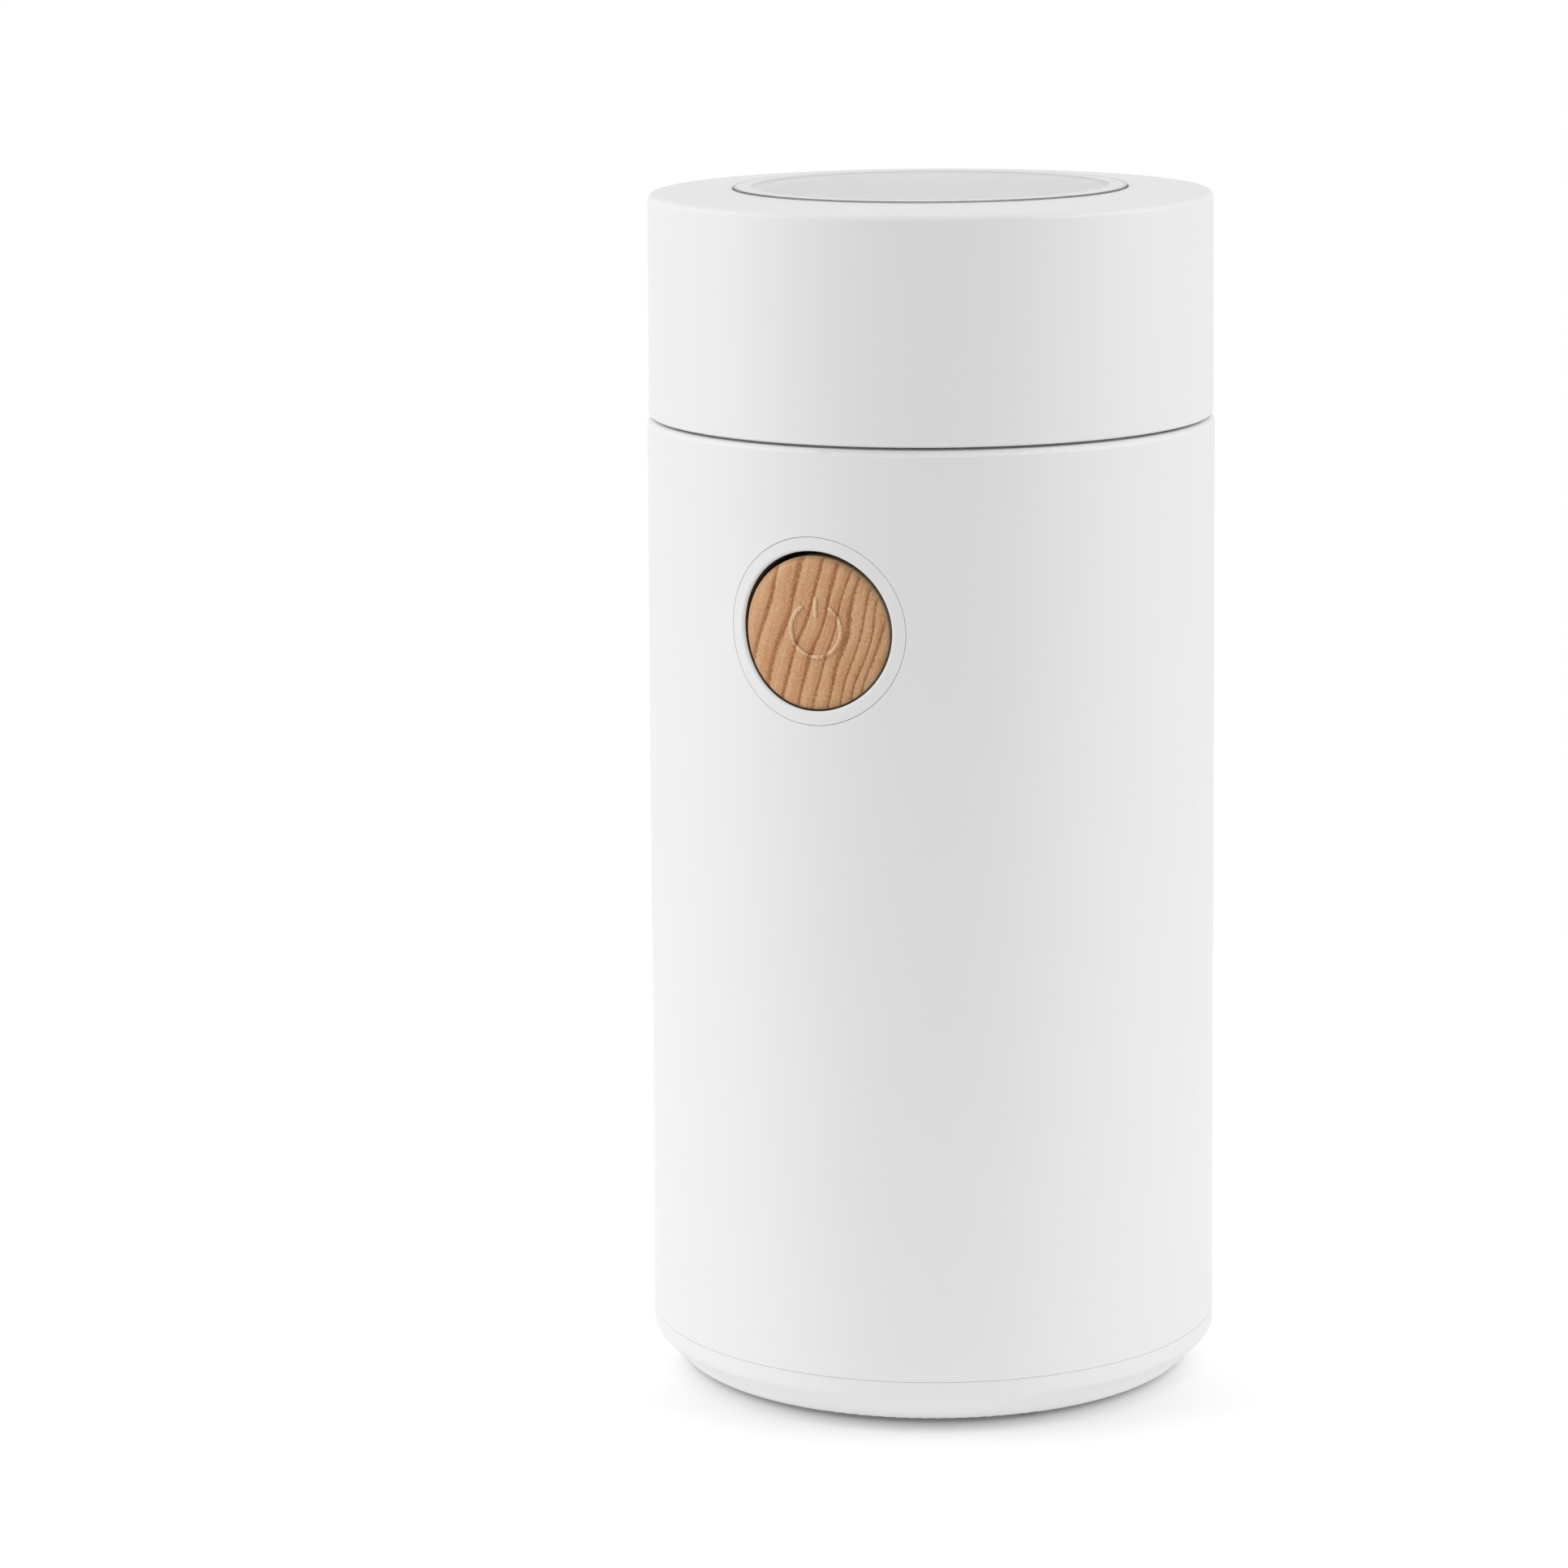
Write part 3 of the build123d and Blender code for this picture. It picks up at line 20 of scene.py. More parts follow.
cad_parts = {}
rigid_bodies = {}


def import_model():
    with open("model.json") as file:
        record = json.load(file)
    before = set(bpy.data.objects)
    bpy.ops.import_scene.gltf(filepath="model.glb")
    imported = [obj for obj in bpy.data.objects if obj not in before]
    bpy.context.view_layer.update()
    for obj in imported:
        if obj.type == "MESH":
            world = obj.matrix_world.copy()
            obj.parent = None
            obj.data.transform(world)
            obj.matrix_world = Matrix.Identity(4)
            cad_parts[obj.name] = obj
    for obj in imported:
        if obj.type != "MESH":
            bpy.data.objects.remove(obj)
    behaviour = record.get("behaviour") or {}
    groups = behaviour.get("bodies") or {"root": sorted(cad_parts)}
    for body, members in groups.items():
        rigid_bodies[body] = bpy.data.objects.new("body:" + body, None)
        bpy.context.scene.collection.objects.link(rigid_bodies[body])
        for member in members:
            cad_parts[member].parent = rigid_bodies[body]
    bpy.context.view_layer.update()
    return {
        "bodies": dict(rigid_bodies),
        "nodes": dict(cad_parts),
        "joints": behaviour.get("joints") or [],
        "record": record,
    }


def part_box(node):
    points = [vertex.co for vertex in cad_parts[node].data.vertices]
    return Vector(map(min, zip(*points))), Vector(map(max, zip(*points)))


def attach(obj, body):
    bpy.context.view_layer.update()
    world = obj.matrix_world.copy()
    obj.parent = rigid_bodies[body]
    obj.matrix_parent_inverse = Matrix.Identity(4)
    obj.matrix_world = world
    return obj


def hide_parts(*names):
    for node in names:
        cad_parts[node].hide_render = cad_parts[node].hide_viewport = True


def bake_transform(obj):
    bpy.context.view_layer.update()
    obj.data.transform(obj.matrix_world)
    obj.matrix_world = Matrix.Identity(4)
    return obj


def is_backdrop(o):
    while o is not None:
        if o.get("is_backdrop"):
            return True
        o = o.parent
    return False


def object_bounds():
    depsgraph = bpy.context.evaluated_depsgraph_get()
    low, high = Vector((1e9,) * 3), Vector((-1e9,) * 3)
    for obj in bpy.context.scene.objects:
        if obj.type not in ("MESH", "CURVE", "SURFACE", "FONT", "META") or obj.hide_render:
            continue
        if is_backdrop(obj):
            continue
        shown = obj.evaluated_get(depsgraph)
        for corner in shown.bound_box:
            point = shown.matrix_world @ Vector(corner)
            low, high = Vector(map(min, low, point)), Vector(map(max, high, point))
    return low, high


MM = 0.001
# The rise attribute below masks the painted shade at the foot of the mark's ridges.
RISE = "rise"  # attribute that says how far up a ridge's side a vertex lies
MEASURES = ("DISTANCE", "DOT_PRODUCT", "LENGTH")  # vector operations that give a number

Node = bpy.types.Node
Socket = bpy.types.NodeSocket
Value = Socket | float | Vector | tuple[float, ...]
Span = tuple[float, float]
Triple = tuple[float, float, float]
Colour = Triple
Stops = tuple[tuple[float, Colour], ...]
BLACK: Colour = (0.0, 0.0, 0.0)
HALFWAY: Colour = (0.55, 0.55, 0.55)
WHITE: Colour = (1.0, 1.0, 1.0)
log = logging.getLogger("spice_grinder")


# ---- Node trees ----


class Graph:
    """A node tree, with short calls that add nodes and wire them."""

    def __init__(self, tree: bpy.types.NodeTree) -> None:
        """Keep the tree that the nodes go into."""
        self.tree = tree

    def feed(self, socket: Socket, value: Value) -> None:
        """Give an input a constant, or link it to an output.

        Args:
            socket: The input to fill.
            value: A number, a vector, a colour or an output.
        """
        if isinstance(value, Socket):
            self.tree.links.new(value, socket)
        elif socket.type == "RGBA":
            socket.default_value = (*value, 1)
        else:
            socket.default_value = value

    def node(self, kind: str, inputs: dict[str | int, Value], **settings: object) -> Node:
        """Add one node.

        Args:
            kind: The node's type without the leading ShaderNode.
            inputs: Constants or outputs of other nodes, by input name or index.
            **settings: Properties of the node itself.

        Returns:
            The new node.
        """
        made = self.tree.nodes.new("ShaderNode" + kind)
        for key, value in settings.items():
            setattr(made, key, value)
        for key, value in inputs.items():
            self.feed(made.inputs[key], value)
        return made

    def place(self) -> Socket:
        """Return the position in the piece's own frame, which is the shared frame at rest."""
        return self.node("TexCoord", {}).outputs["Object"]

    def parts(self, vector: Value) -> bpy.types.bpy_prop_collection:
        """Return the three outputs that hold a vector's X, Y and Z."""
        return self.node("SeparateXYZ", {0: vector}).outputs

    def maths(self, operation: str, a: Value, b: Value = 0.0) -> Socket:
        """Return what a maths operation makes of one number or two."""
        return self.node("Math", {0: a, 1: b}, operation=operation).outputs[0]

    def vectors(self, operation: str, a: Value, b: Value = (0, 0, 0)) -> Socket:
        """Return what a vector operation makes of one or two, a number where it measures."""
        made = self.node("VectorMath", {0: a, 1: b}, operation=operation)
        return made.outputs["Value" if operation in MEASURES else "Vector"]

    def levels(
        self, value: Value, low: Value = 0, high: Value = 1, start: float = 0, end: float = 1
    ) -> Socket:
        """Return a number mapped from start..end to low..high, and held at the ends."""
        return self.node("MapRange", {0: value, 1: start, 2: end, 3: low, 4: high}).outputs[0]

    def glowing(self, matt: dict[str, Value], glow: dict[str, Value]) -> Socket:
        """Return a matt surface that glows as well, from the inputs of either shader."""
        base, light = self.node("BsdfDiffuse", matt), self.node("Emission", glow)
        return self.node("AddShader", {0: base.outputs[0], 1: light.outputs[0]}).outputs[0]

    def seen_directly(self) -> Socket:
        """Tell the rays that see a surface from those that only bring light.

        Returns:
            1 for rays from the camera, off gloss and through glass, and 0 for the rest.
        """
        path = self.node("LightPath", {}).outputs
        seen = path["Is Camera Ray"]
        for kind in ("Is Glossy Ray", "Is Transmission Ray"):
            seen = self.maths("MAXIMUM", seen, path[kind])
        return seen


class Recipe(Graph):
    """A material in the making, with the patterns that its one shader is fed."""

    def __init__(self, name: str) -> None:
        """Start the material.

        Args:
            name: The material's name.
        """
        self.material = bpy.data.materials.new(name)
        self.material.use_nodes = True
        super().__init__(self.material.node_tree)
        self.shader = next(n for n in self.tree.nodes if n.type == "BSDF_PRINCIPLED")

    def off_axis(self, node: str) -> Socket:
        """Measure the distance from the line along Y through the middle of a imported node.

        Args:
            node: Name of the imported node.

        Returns:
            The distance.
        """
        low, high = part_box(node)
        middle = (low + high) / 2
        flat = self.vectors("MULTIPLY", self.place(), (1, 0, 1))
        return self.vectors("DISTANCE", flat, (middle.x, 0, middle.z))

    def around(self, where: Value, run: float) -> Socket:
        """Turn a position into (radius, length along the circle, height) about the Z axis.

        Args:
            where: The position.
            run: How far one full turn counts; short runs give long streaks.

        Returns:
            The unrolled position.
        """
        x, y, z = self.parts(where)
        squares = self.maths("ADD", self.maths("POWER", x, 2), self.maths("POWER", y, 2))
        angle = self.maths("MULTIPLY", self.maths("ARCTAN2", y, x), run / math.tau)
        inputs = {0: self.maths("SQRT", squares), 1: angle, 2: z}
        return self.node("CombineXYZ", inputs).outputs[0]

    def stretched(self, where: Value, scale: Triple, turn: Triple = (0, 0, 0)) -> Socket:
        """Return a position scaled and turned, so that a pattern on it becomes streaks."""
        inputs = {"Vector": where, "Scale": scale, "Rotation": turn}
        return self.node("Mapping", inputs).outputs[0]

    def noise(self, where: Value, size: float, detail: float) -> Socket:
        """Return a soft noise from 0 to 1, with blotches of a size and finer layers."""
        inputs = {"Vector": where, "Scale": 1.0 / size, "Detail": detail}
        return self.node("TexNoise", inputs).outputs[0]

    def shades(self, value: Value, stops: Stops) -> Socket:
        """Colour a number by a ramp.

        Args:
            value: The number that drives the ramp.
            stops: Positions from 0 to 1 with their colours.

        Returns:
            The colour.
        """
        ramp = self.node("ValToRGB", {0: value})
        elements = ramp.color_ramp.elements
        while len(elements) < len(stops):
            elements.new(0.5)
        for element, (position, colour) in zip(elements, stops):
            element.position = position
            element.color = (*colour, 1)
        return ramp.outputs[0]

    def blend(self, share: Value, first: Value, second: Value) -> Socket:
        """Return a mix of two colours with a share of the second."""
        inputs = {0: share, 6: first, 7: second}
        return self.node("Mix", inputs, data_type="RGBA").outputs[2]

    def relief(self, height: Value, depth: float, under: Socket | None = None) -> Socket:
        """Turn a height pattern into a bumped normal.

        Args:
            height: The pattern, from 0 to 1.
            depth: Its real height.
            under: The normal of a coarser relief below it.

        Returns:
            The normal.
        """
        inputs = {"Height": height, "Distance": depth, "Strength": 1.0}
        if under is not None:
            inputs["Normal"] = under
        return self.node("Bump", inputs).outputs[0]

    def fed(self, name: str) -> Socket:
        """Return the output that feeds one of the shader's inputs so far."""
        return self.shader.inputs[name].links[0].from_socket

    def shade(self, **inputs: Value) -> None:
        """Fill the shader's inputs, which are named with _ for a space."""
        for key, value in inputs.items():
            self.feed(self.shader.inputs[key.replace("_", " ")], value)


def darker(colour: Colour, share: float) -> Colour:
    """Return a colour with each channel lowered by a share."""
    return tuple(channel * (1 - share) for channel in colour)


# ---- Finishes ----


@dataclass(frozen=True)
class Look:
    """A finish, which mixes its own material."""

    name: str

    def make(self) -> bpy.types.Material:
        """Build the material.

        Returns:
            The finished material.
        """
        recipe = Recipe(self.name)
        self.mix(recipe)
        return recipe.material

    def mix(self, recipe: Recipe) -> None:
        """Fill the shader; each finish does it in its own way."""
        raise NotImplementedError


@dataclass(frozen=True)
class MouldedPlastic(Look):
    """Opaque moulded plastic with a fine eroded mould texture."""

    colour: Colour
    roughness: Span
    grain: float = 0.22 * MM
    depth: float = 0.004 * MM
    cloud: float = 22 * MM
    cloud_detail: float = 2
    cloud_share: float = 0.02
    specular: float = 0.5

    def mix(self, recipe: Recipe) -> None:
        """Mix a clouded colour, an uneven satin and a fine grain.

        Args:
            recipe: The material to fill.
        """
        where = recipe.place()
        cloud = recipe.noise(where, self.cloud, self.cloud_detail)
        grain = recipe.noise(where, self.grain, detail=3)
        recipe.shade(
            Base_Color=recipe.blend(cloud, self.colour, darker(self.colour, self.cloud_share)),
            Roughness=recipe.levels(grain, *self.roughness),
            Specular_IOR_Level=self.specular,
            Normal=recipe.relief(grain, self.depth),
        )


@dataclass(frozen=True)
class LippedPlastic(MouldedPlastic):
    """Moulded plastic with painted shade, a dark matt colour, in the bore round the middle of one
    piece.
    """

    around: str = "button_bezel"
    bore: float = 11.5 * MM
    # painted shade: the dark matt colour that stands for the shade in the bore
    coating: Colour = (0.105, 0.075, 0.065)
    # specular level of the whole piece, the painted bore included
    coating_specular: float = 0.2

    def mix(self, recipe: Recipe) -> None:
        """Mix the plastic, and paint a dark matt shade on it where it lies inside the bore's
        radius.

        Args:
            recipe: The material to fill.
        """
        super().mix(recipe)
        # Painted shade: inside the bore the colour turns dark and the surface fully rough.
        inside = recipe.maths("LESS_THAN", recipe.off_axis(self.around), self.bore)
        recipe.shade(
            Base_Color=recipe.blend(inside, recipe.fed("Base Color"), self.coating),
            Roughness=recipe.maths("MAXIMUM", inside, recipe.fed("Roughness")),
            Specular_IOR_Level=self.coating_specular,
        )


@dataclass(frozen=True)
class Streaks:
    """A noise that is drawn out along the growth lines of a wood look."""

    size: float
    along: float
    detail: float
    across: float = 1

    def drawn(self, recipe: Recipe, where: Socket) -> Socket:
        """Return the noise at a position that is turned to the growth lines."""
        turned = recipe.stretched(where, (self.across, 0, self.along))
        return recipe.noise(turned, self.size, self.detail)


@dataclass(frozen=True)
class WoodLook(Look):
    """Printed and lacquered wood look with leaning growth lines that crowd to one side.

    Attributes:
        creased: Whether the foot of a raised ridge gets painted shade.
        sways: Noises that bend the lines, each with its reach.
        fresh: Where in a line's width the first light wood shows.
        wide: Where the colour deepens towards the late edge.
        late: Where the dark late edge lies.
        twin: Where a fainter second edge lies.
        years: Strengths of the late edge and the twin, from line to line.
        drifts: Strengths of the late edge and the twin, along a line.
        edge: Width of the rounded corner, whose outer part gets a painted highlight.
    """

    light: Colour = (0.702, 0.456, 0.260)
    middle: Colour = (0.547, 0.302, 0.150)
    band: Colour = (0.425, 0.165, 0.048)
    dark: Colour = (0.190, 0.050, 0.009)
    # rim: colour of the painted highlight on the rounded rim
    rim: Colour = (0.900, 0.660, 0.430)
    # painted shade at a raised ridge's foot: whether it is drawn, and how much darker than the dark
    # wood
    creased: bool = False
    crease: float = 0.3
    around: str = "button_cap"
    lean: float = math.radians(16)
    lines: float = 6.0
    crowding: float = 4.0
    sways: tuple[tuple[Streaks, float], ...] = (
        (Streaks(13 * MM, along=1, detail=1, across=0.6), 1.2 * MM),
        (Streaks(2.6 * MM, along=0.12, detail=1), 1.0 * MM),
        (Streaks(0.3 * MM, along=0.6, detail=3), 0.3 * MM),
    )
    drift: Streaks = Streaks(2.5 * MM, along=0.3, detail=2)
    cloud: Streaks = Streaks(1.1 * MM, along=0.12, detail=3)
    fibre: Streaks = Streaks(0.2 * MM, along=0.06, detail=2)
    speckle: Streaks = Streaks(0.3 * MM, along=0.7, detail=3)
    fresh: Stops = ((0.0, WHITE), (0.18, BLACK))
    wide: Stops = ((0.36, BLACK), (0.68, HALFWAY), (0.84, WHITE), (1.0, BLACK))
    late: Stops = ((0.70, BLACK), (0.83, WHITE), (0.91, WHITE), (0.97, BLACK))
    twin: Stops = ((0.36, BLACK), (0.46, WHITE), (0.50, WHITE), (0.56, BLACK))
    years: tuple[Span, Span] = ((0.8, 1.3), (0.9, -0.5))
    drifts: tuple[Span, Span] = ((0.5, 1.8), (1.6, -0.4))
    fresh_share: float = 0.3
    wide_share: float = 0.9
    cloud_share: Span = (-0.9, 1.5)
    fibre_share: Span = (-0.4, 1.0)
    dark_specks: Span = (0.65, -0.4)
    light_specks: Span = (-0.7, 0.9)
    edge: float = 1.5 * MM
    drop: float = 0.5 * MM
    # painted highlight on the rim: its largest share and how closely it hugs the edge
    rim_share: float = 0.7
    rim_power: float = 10
    roughness: Span = (0.40, 0.52)
    specular: float = 0.35
    late_depth: float = -0.03 * MM
    speckle_depth: float = 0.012 * MM

    def mix(self, recipe: Recipe) -> None:
        """Mix growth lines with a frayed late edge, fibres and speckle, a rounded rim with a
        painted highlight, and painted shade at a ridge's foot where asked for.

        Args:
            recipe: The material to fill.
        """
        low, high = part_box(self.around)
        width = high.x - low.x
        centred = recipe.vectors("SUBTRACT", recipe.place(), (low + high) / 2)
        where = recipe.stretched(centred, (1, 1, 1), (0, -self.lean, 0))
        cloud, fibre, speckle = (
            streaks.drawn(recipe, where) for streaks in (self.cloud, self.fibre, self.speckle)
        )
        line = self.line(recipe, where, width)
        part = recipe.maths("FRACT", line)
        fresh, wide, twin, late = (
            recipe.shades(part, stops) for stops in (self.fresh, self.wide, self.twin, self.late)
        )
        strength, double = self.strengths(recipe, where, line)
        base = recipe.blend(recipe.levels(cloud, *self.cloud_share), self.light, self.middle)
        for share, colour in (
            (recipe.maths("MULTIPLY", wide, self.wide_share), self.band),
            (recipe.maths("MULTIPLY", twin, double), self.band),
            (recipe.maths("MULTIPLY", late, strength), self.dark),
            (recipe.levels(fibre, *self.fibre_share), self.band),
            (recipe.levels(speckle, *self.dark_specks), self.band),
            (recipe.levels(speckle, *self.light_specks), self.light),
            (recipe.maths("MULTIPLY", fresh, self.fresh_share), self.light),
        ):
            base = recipe.blend(share, base, colour)
        # Painted shade: the foot of a raised ridge darkens, the more the lower on its side.
        if self.creased:
            rise = recipe.node("Attribute", {}, attribute_name=RISE).outputs["Fac"]
            base = recipe.blend(rise, darker(self.dark, self.crease), base)
        outer = recipe.off_axis(self.around)
        outer = recipe.levels(outer, start=width / 2 - self.edge, end=width / 2)
        # Painted highlight: the outermost rim is blended towards the light rim colour.
        rim_highlight_mask = recipe.maths("POWER", outer, self.rim_power)
        rounded = recipe.relief(recipe.maths("POWER", outer, 2), -self.drop)
        lined = recipe.relief(late, self.late_depth, rounded)
        recipe.shade(
            Base_Color=recipe.blend(recipe.maths("MULTIPLY", rim_highlight_mask, self.rim_share), base, self.rim),
            Roughness=recipe.levels(fibre, *self.roughness),
            Specular_IOR_Level=self.specular,
            Normal=recipe.relief(speckle, self.speckle_depth, lined),
        )

    def line(self, recipe: Recipe, where: Socket, width: float) -> Socket:
        """Count the growth lines from one side of the piece to the other.

        Args:
            recipe: The material to fill.
            where: The position, turned to the lines.
            width: Width of the piece.

        Returns:
            The line's number, whose fraction says where in the line the position lies.
        """
        across = recipe.parts(where)[0]
        for streaks, reach in self.sways:
            sway = recipe.levels(streaks.drawn(recipe, where), -reach, reach)
            across = recipe.maths("ADD", across, sway)
        share = recipe.maths("ADD", recipe.maths("DIVIDE", across, width), 0.5)
        crowded = recipe.maths("MULTIPLY", recipe.maths("POWER", share, 3), self.crowding)
        return recipe.maths("ADD", recipe.maths("MULTIPLY", share, self.lines), crowded)

    def strengths(self, recipe: Recipe, where: Socket, line: Socket) -> tuple[Socket, ...]:
        """Vary the late edge and its twin from line to line and along each line.

        Args:
            recipe: The material to fill.
            where: The position, turned to the lines.
            line: The line's number.

        Returns:
            How strong the late edge is, and how strong the twin is.
        """
        inputs = {"W": recipe.maths("FLOOR", line)}
        year = recipe.node("TexWhiteNoise", inputs, noise_dimensions="1D").outputs["Value"]
        drift = self.drift.drawn(recipe, where)
        return tuple(
            recipe.maths("MULTIPLY", recipe.levels(year, *of_year), recipe.levels(drift, *of_drift))
            for of_year, of_drift in zip(self.years, self.drifts)
        )


@dataclass(frozen=True)
class ClearPlastic(Look):
    """Clear polished plastic with faint wiping marks."""

    colour: Colour
    roughness: Span
    refraction: float = 1.49
    wipe: float = 4 * MM
    wipe_scale: Triple = (1, 0.15, 1)
    wipe_depth: float = 0.002 * MM

    def mix(self, recipe: Recipe) -> None:
        """Mix full transmission with an uneven thin haze.

        Args:
            recipe: The material to fill.
        """
        wiped = recipe.stretched(recipe.place(), self.wipe_scale)
        wipe = recipe.noise(wiped, self.wipe, detail=4)
        recipe.shade(
            Base_Color=self.colour,
            Roughness=recipe.levels(wipe, *self.roughness),
            IOR=self.refraction,
            Transmission_Weight=1.0,
            Normal=recipe.relief(wipe, self.wipe_depth),
        )


@dataclass(frozen=True)
class SeatedPlastic(ClearPlastic):
    """Clear disc on a white ledge, its rim painted opaque grey as painted shade up to a clear lip.
    """

    disc: str = "lid_window"
    ledge: float = 2.6 * MM
    lip: float = 0.4 * MM
    # painted shade: the grey that stands for the white ledge seen, shaded, through the rim
    below: Colour = (0.46, 0.46, 0.46)

    def mix(self, recipe: Recipe) -> None:
        """Mix the clear plastic, and paint its rim opaque grey, painted shade for the ledge under
        it.

        Args:
            recipe: The material to fill.
        """
        super().mix(recipe)
        low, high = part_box(self.disc)
        outer = (high.x - low.x) / 2
        radius = recipe.parts(recipe.around(recipe.place(), 1.0))[0]
        # Painted shade: over the ledge the rim is opaque and takes the grey, up to the clear lip.
        rim = recipe.maths(
            "MULTIPLY",
            recipe.maths("GREATER_THAN", radius, outer - self.ledge),
            recipe.maths("LESS_THAN", radius, outer - self.lip),
        )
        recipe.shade(
            Base_Color=recipe.blend(rim, self.colour, self.below),
            Transmission_Weight=recipe.maths("SUBTRACT", 1.0, rim),
        )


@dataclass(frozen=True)
class Rubber(MouldedPlastic):
    """Soft rubber, silicone or a pressed powder, with a dusty matt skin."""

    roughness: Span = (0.62, 0.78)
    grain: float = 0.18 * MM
    depth: float = 0.01 * MM
    cloud: float = 1.5 * MM
    cloud_detail: float = 4
    cloud_share: float = 0.12
    softness: float = 0.0
    scatter: float = 1.5 * MM

    def mix(self, recipe: Recipe) -> None:
        """Mix the dusty skin, and let light in where it is silicone."""
        super().mix(recipe)
        recipe.shade(Subsurface_Weight=self.softness, Subsurface_Scale=self.scatter)


@dataclass(frozen=True)
class TurnedMetal(Look):
    """Metal that was spun, turned or brushed round the grinder's axis."""

    colour: Colour
    roughness: Span
    line: float = 0.12 * MM
    line_share: float = 0.14
    depth: float = 0.003 * MM
    run: float = 6 * MM
    smear: float = 9 * MM
    smear_gloss: Span = (-0.04, 0.05)

    def mix(self, recipe: Recipe) -> None:
        """Mix fine rings in the colour, gloss and relief.

        Args:
            recipe: The material to fill.
        """
        rings = recipe.noise(recipe.around(recipe.place(), self.run), self.line, detail=4)
        smear = recipe.noise(recipe.place(), self.smear, detail=3)
        satin = recipe.levels(rings, *self.roughness)
        recipe.shade(
            Base_Color=recipe.blend(rings, self.colour, darker(self.colour, self.line_share)),
            Metallic=1.0,
            Roughness=recipe.maths("ADD", satin, recipe.levels(smear, *self.smear_gloss)),
            Normal=recipe.relief(rings, self.depth),
        )


@dataclass(frozen=True)
class PlatedMetal(Look):
    """Stamped or cold-headed metal with a mottled plating."""

    colour: Colour
    mottle: Colour
    mottle_share: Span = (0.1, 0.8)
    roughness: Span = (0.29, 0.47)
    patch: float = 1.4 * MM
    scratch: float = 0.1 * MM
    scratch_scale: Triple = (1, 1, 0.08)
    depth: float = 0.003 * MM

    def mix(self, recipe: Recipe) -> None:
        """Mix crystalline patches and fine scratches.

        Args:
            recipe: The material to fill.
        """
        where = recipe.place()
        inputs = {"Vector": where, "Scale": 1 / self.patch}
        patches = recipe.node("TexVoronoi", inputs).outputs["Color"]
        share = recipe.node("SeparateColor", {0: patches}).outputs[0]
        mottled = recipe.levels(share, *self.mottle_share)
        drawn = recipe.stretched(where, self.scratch_scale)
        scratch = recipe.noise(drawn, self.scratch, detail=3)
        recipe.shade(
            Base_Color=recipe.blend(mottled, self.colour, self.mottle),
            Metallic=1.0,
            Roughness=recipe.levels(scratch, *self.roughness),
            Normal=recipe.relief(scratch, self.depth),
        )


@dataclass(frozen=True)
class LaminatedSteel(Look):
    """A stack of varnished steel sheets, seen as fine level lines."""

    colour: Colour
    sheet: float = 0.5 * MM
    line_from: float = 0.82
    line_share: float = 0.8
    line_depth: float = 0.04 * MM
    blot: float = 3 * MM
    blot_share: float = 0.4
    metallic: float = 0.8
    roughness: Span = (0.35, 0.55)
    varnish: float = 0.3

    def mix(self, recipe: Recipe) -> None:
        """Mix one dark line per sheet under a thin varnish.

        Args:
            recipe: The material to fill.
        """
        where = recipe.place()
        height = recipe.parts(where)[2]
        phase = recipe.maths("FRACT", recipe.maths("DIVIDE", height, self.sheet))
        line = recipe.maths("GREATER_THAN", phase, self.line_from)
        blot = recipe.noise(where, self.blot, detail=3)
        base = recipe.blend(blot, self.colour, darker(self.colour, self.blot_share))
        recipe.shade(
            Base_Color=recipe.blend(line, base, darker(self.colour, self.line_share)),
            Metallic=self.metallic,
            Roughness=recipe.levels(blot, *self.roughness),
            Coat_Weight=self.varnish,
            Normal=recipe.relief(recipe.maths("SUBTRACT", 1.0, line), self.line_depth),
        )


@dataclass(frozen=True)
class WoundWire(Look):
    """Enamelled copper wire lying side by side in a winding."""

    colour: Colour
    wire: float = 0.42 * MM
    wire_depth: float = 0.12 * MM
    run: float = 60 * MM
    drift: float = 4 * MM
    drift_reach: float = 0.9 * MM
    # painted shade: how much darker the grooves between strands are
    groove_share: float = 0.75
    metallic: float = 0.9
    roughness: Span = (0.24, 0.4)
    enamel: float = 0.5

    def mix(self, recipe: Recipe) -> None:
        """Mix round strands that cross a little, painted shade in the grooves between them, and a
        glossy enamel.

        Args:
            recipe: The material to fill.
        """
        where = recipe.place()
        drift = recipe.noise(where, self.drift, detail=1)
        radius, _, height = recipe.parts(recipe.around(where, self.run))
        sway = recipe.levels(drift, -self.drift_reach, self.drift_reach)
        across = recipe.maths("ADD", recipe.maths("ADD", radius, height), sway)
        wave = recipe.maths("SINE", recipe.maths("MULTIPLY", across, math.pi / self.wire))
        strand = recipe.maths("ABSOLUTE", wave)
        # Painted shade: the colour darkens between strands, where round wires shade each other.
        recipe.shade(
            Base_Color=recipe.blend(strand, darker(self.colour, self.groove_share), self.colour),
            Metallic=self.metallic,
            Roughness=recipe.levels(drift, *self.roughness),
            Coat_Weight=self.enamel,
            Normal=recipe.relief(strand, self.wire_depth),
        )


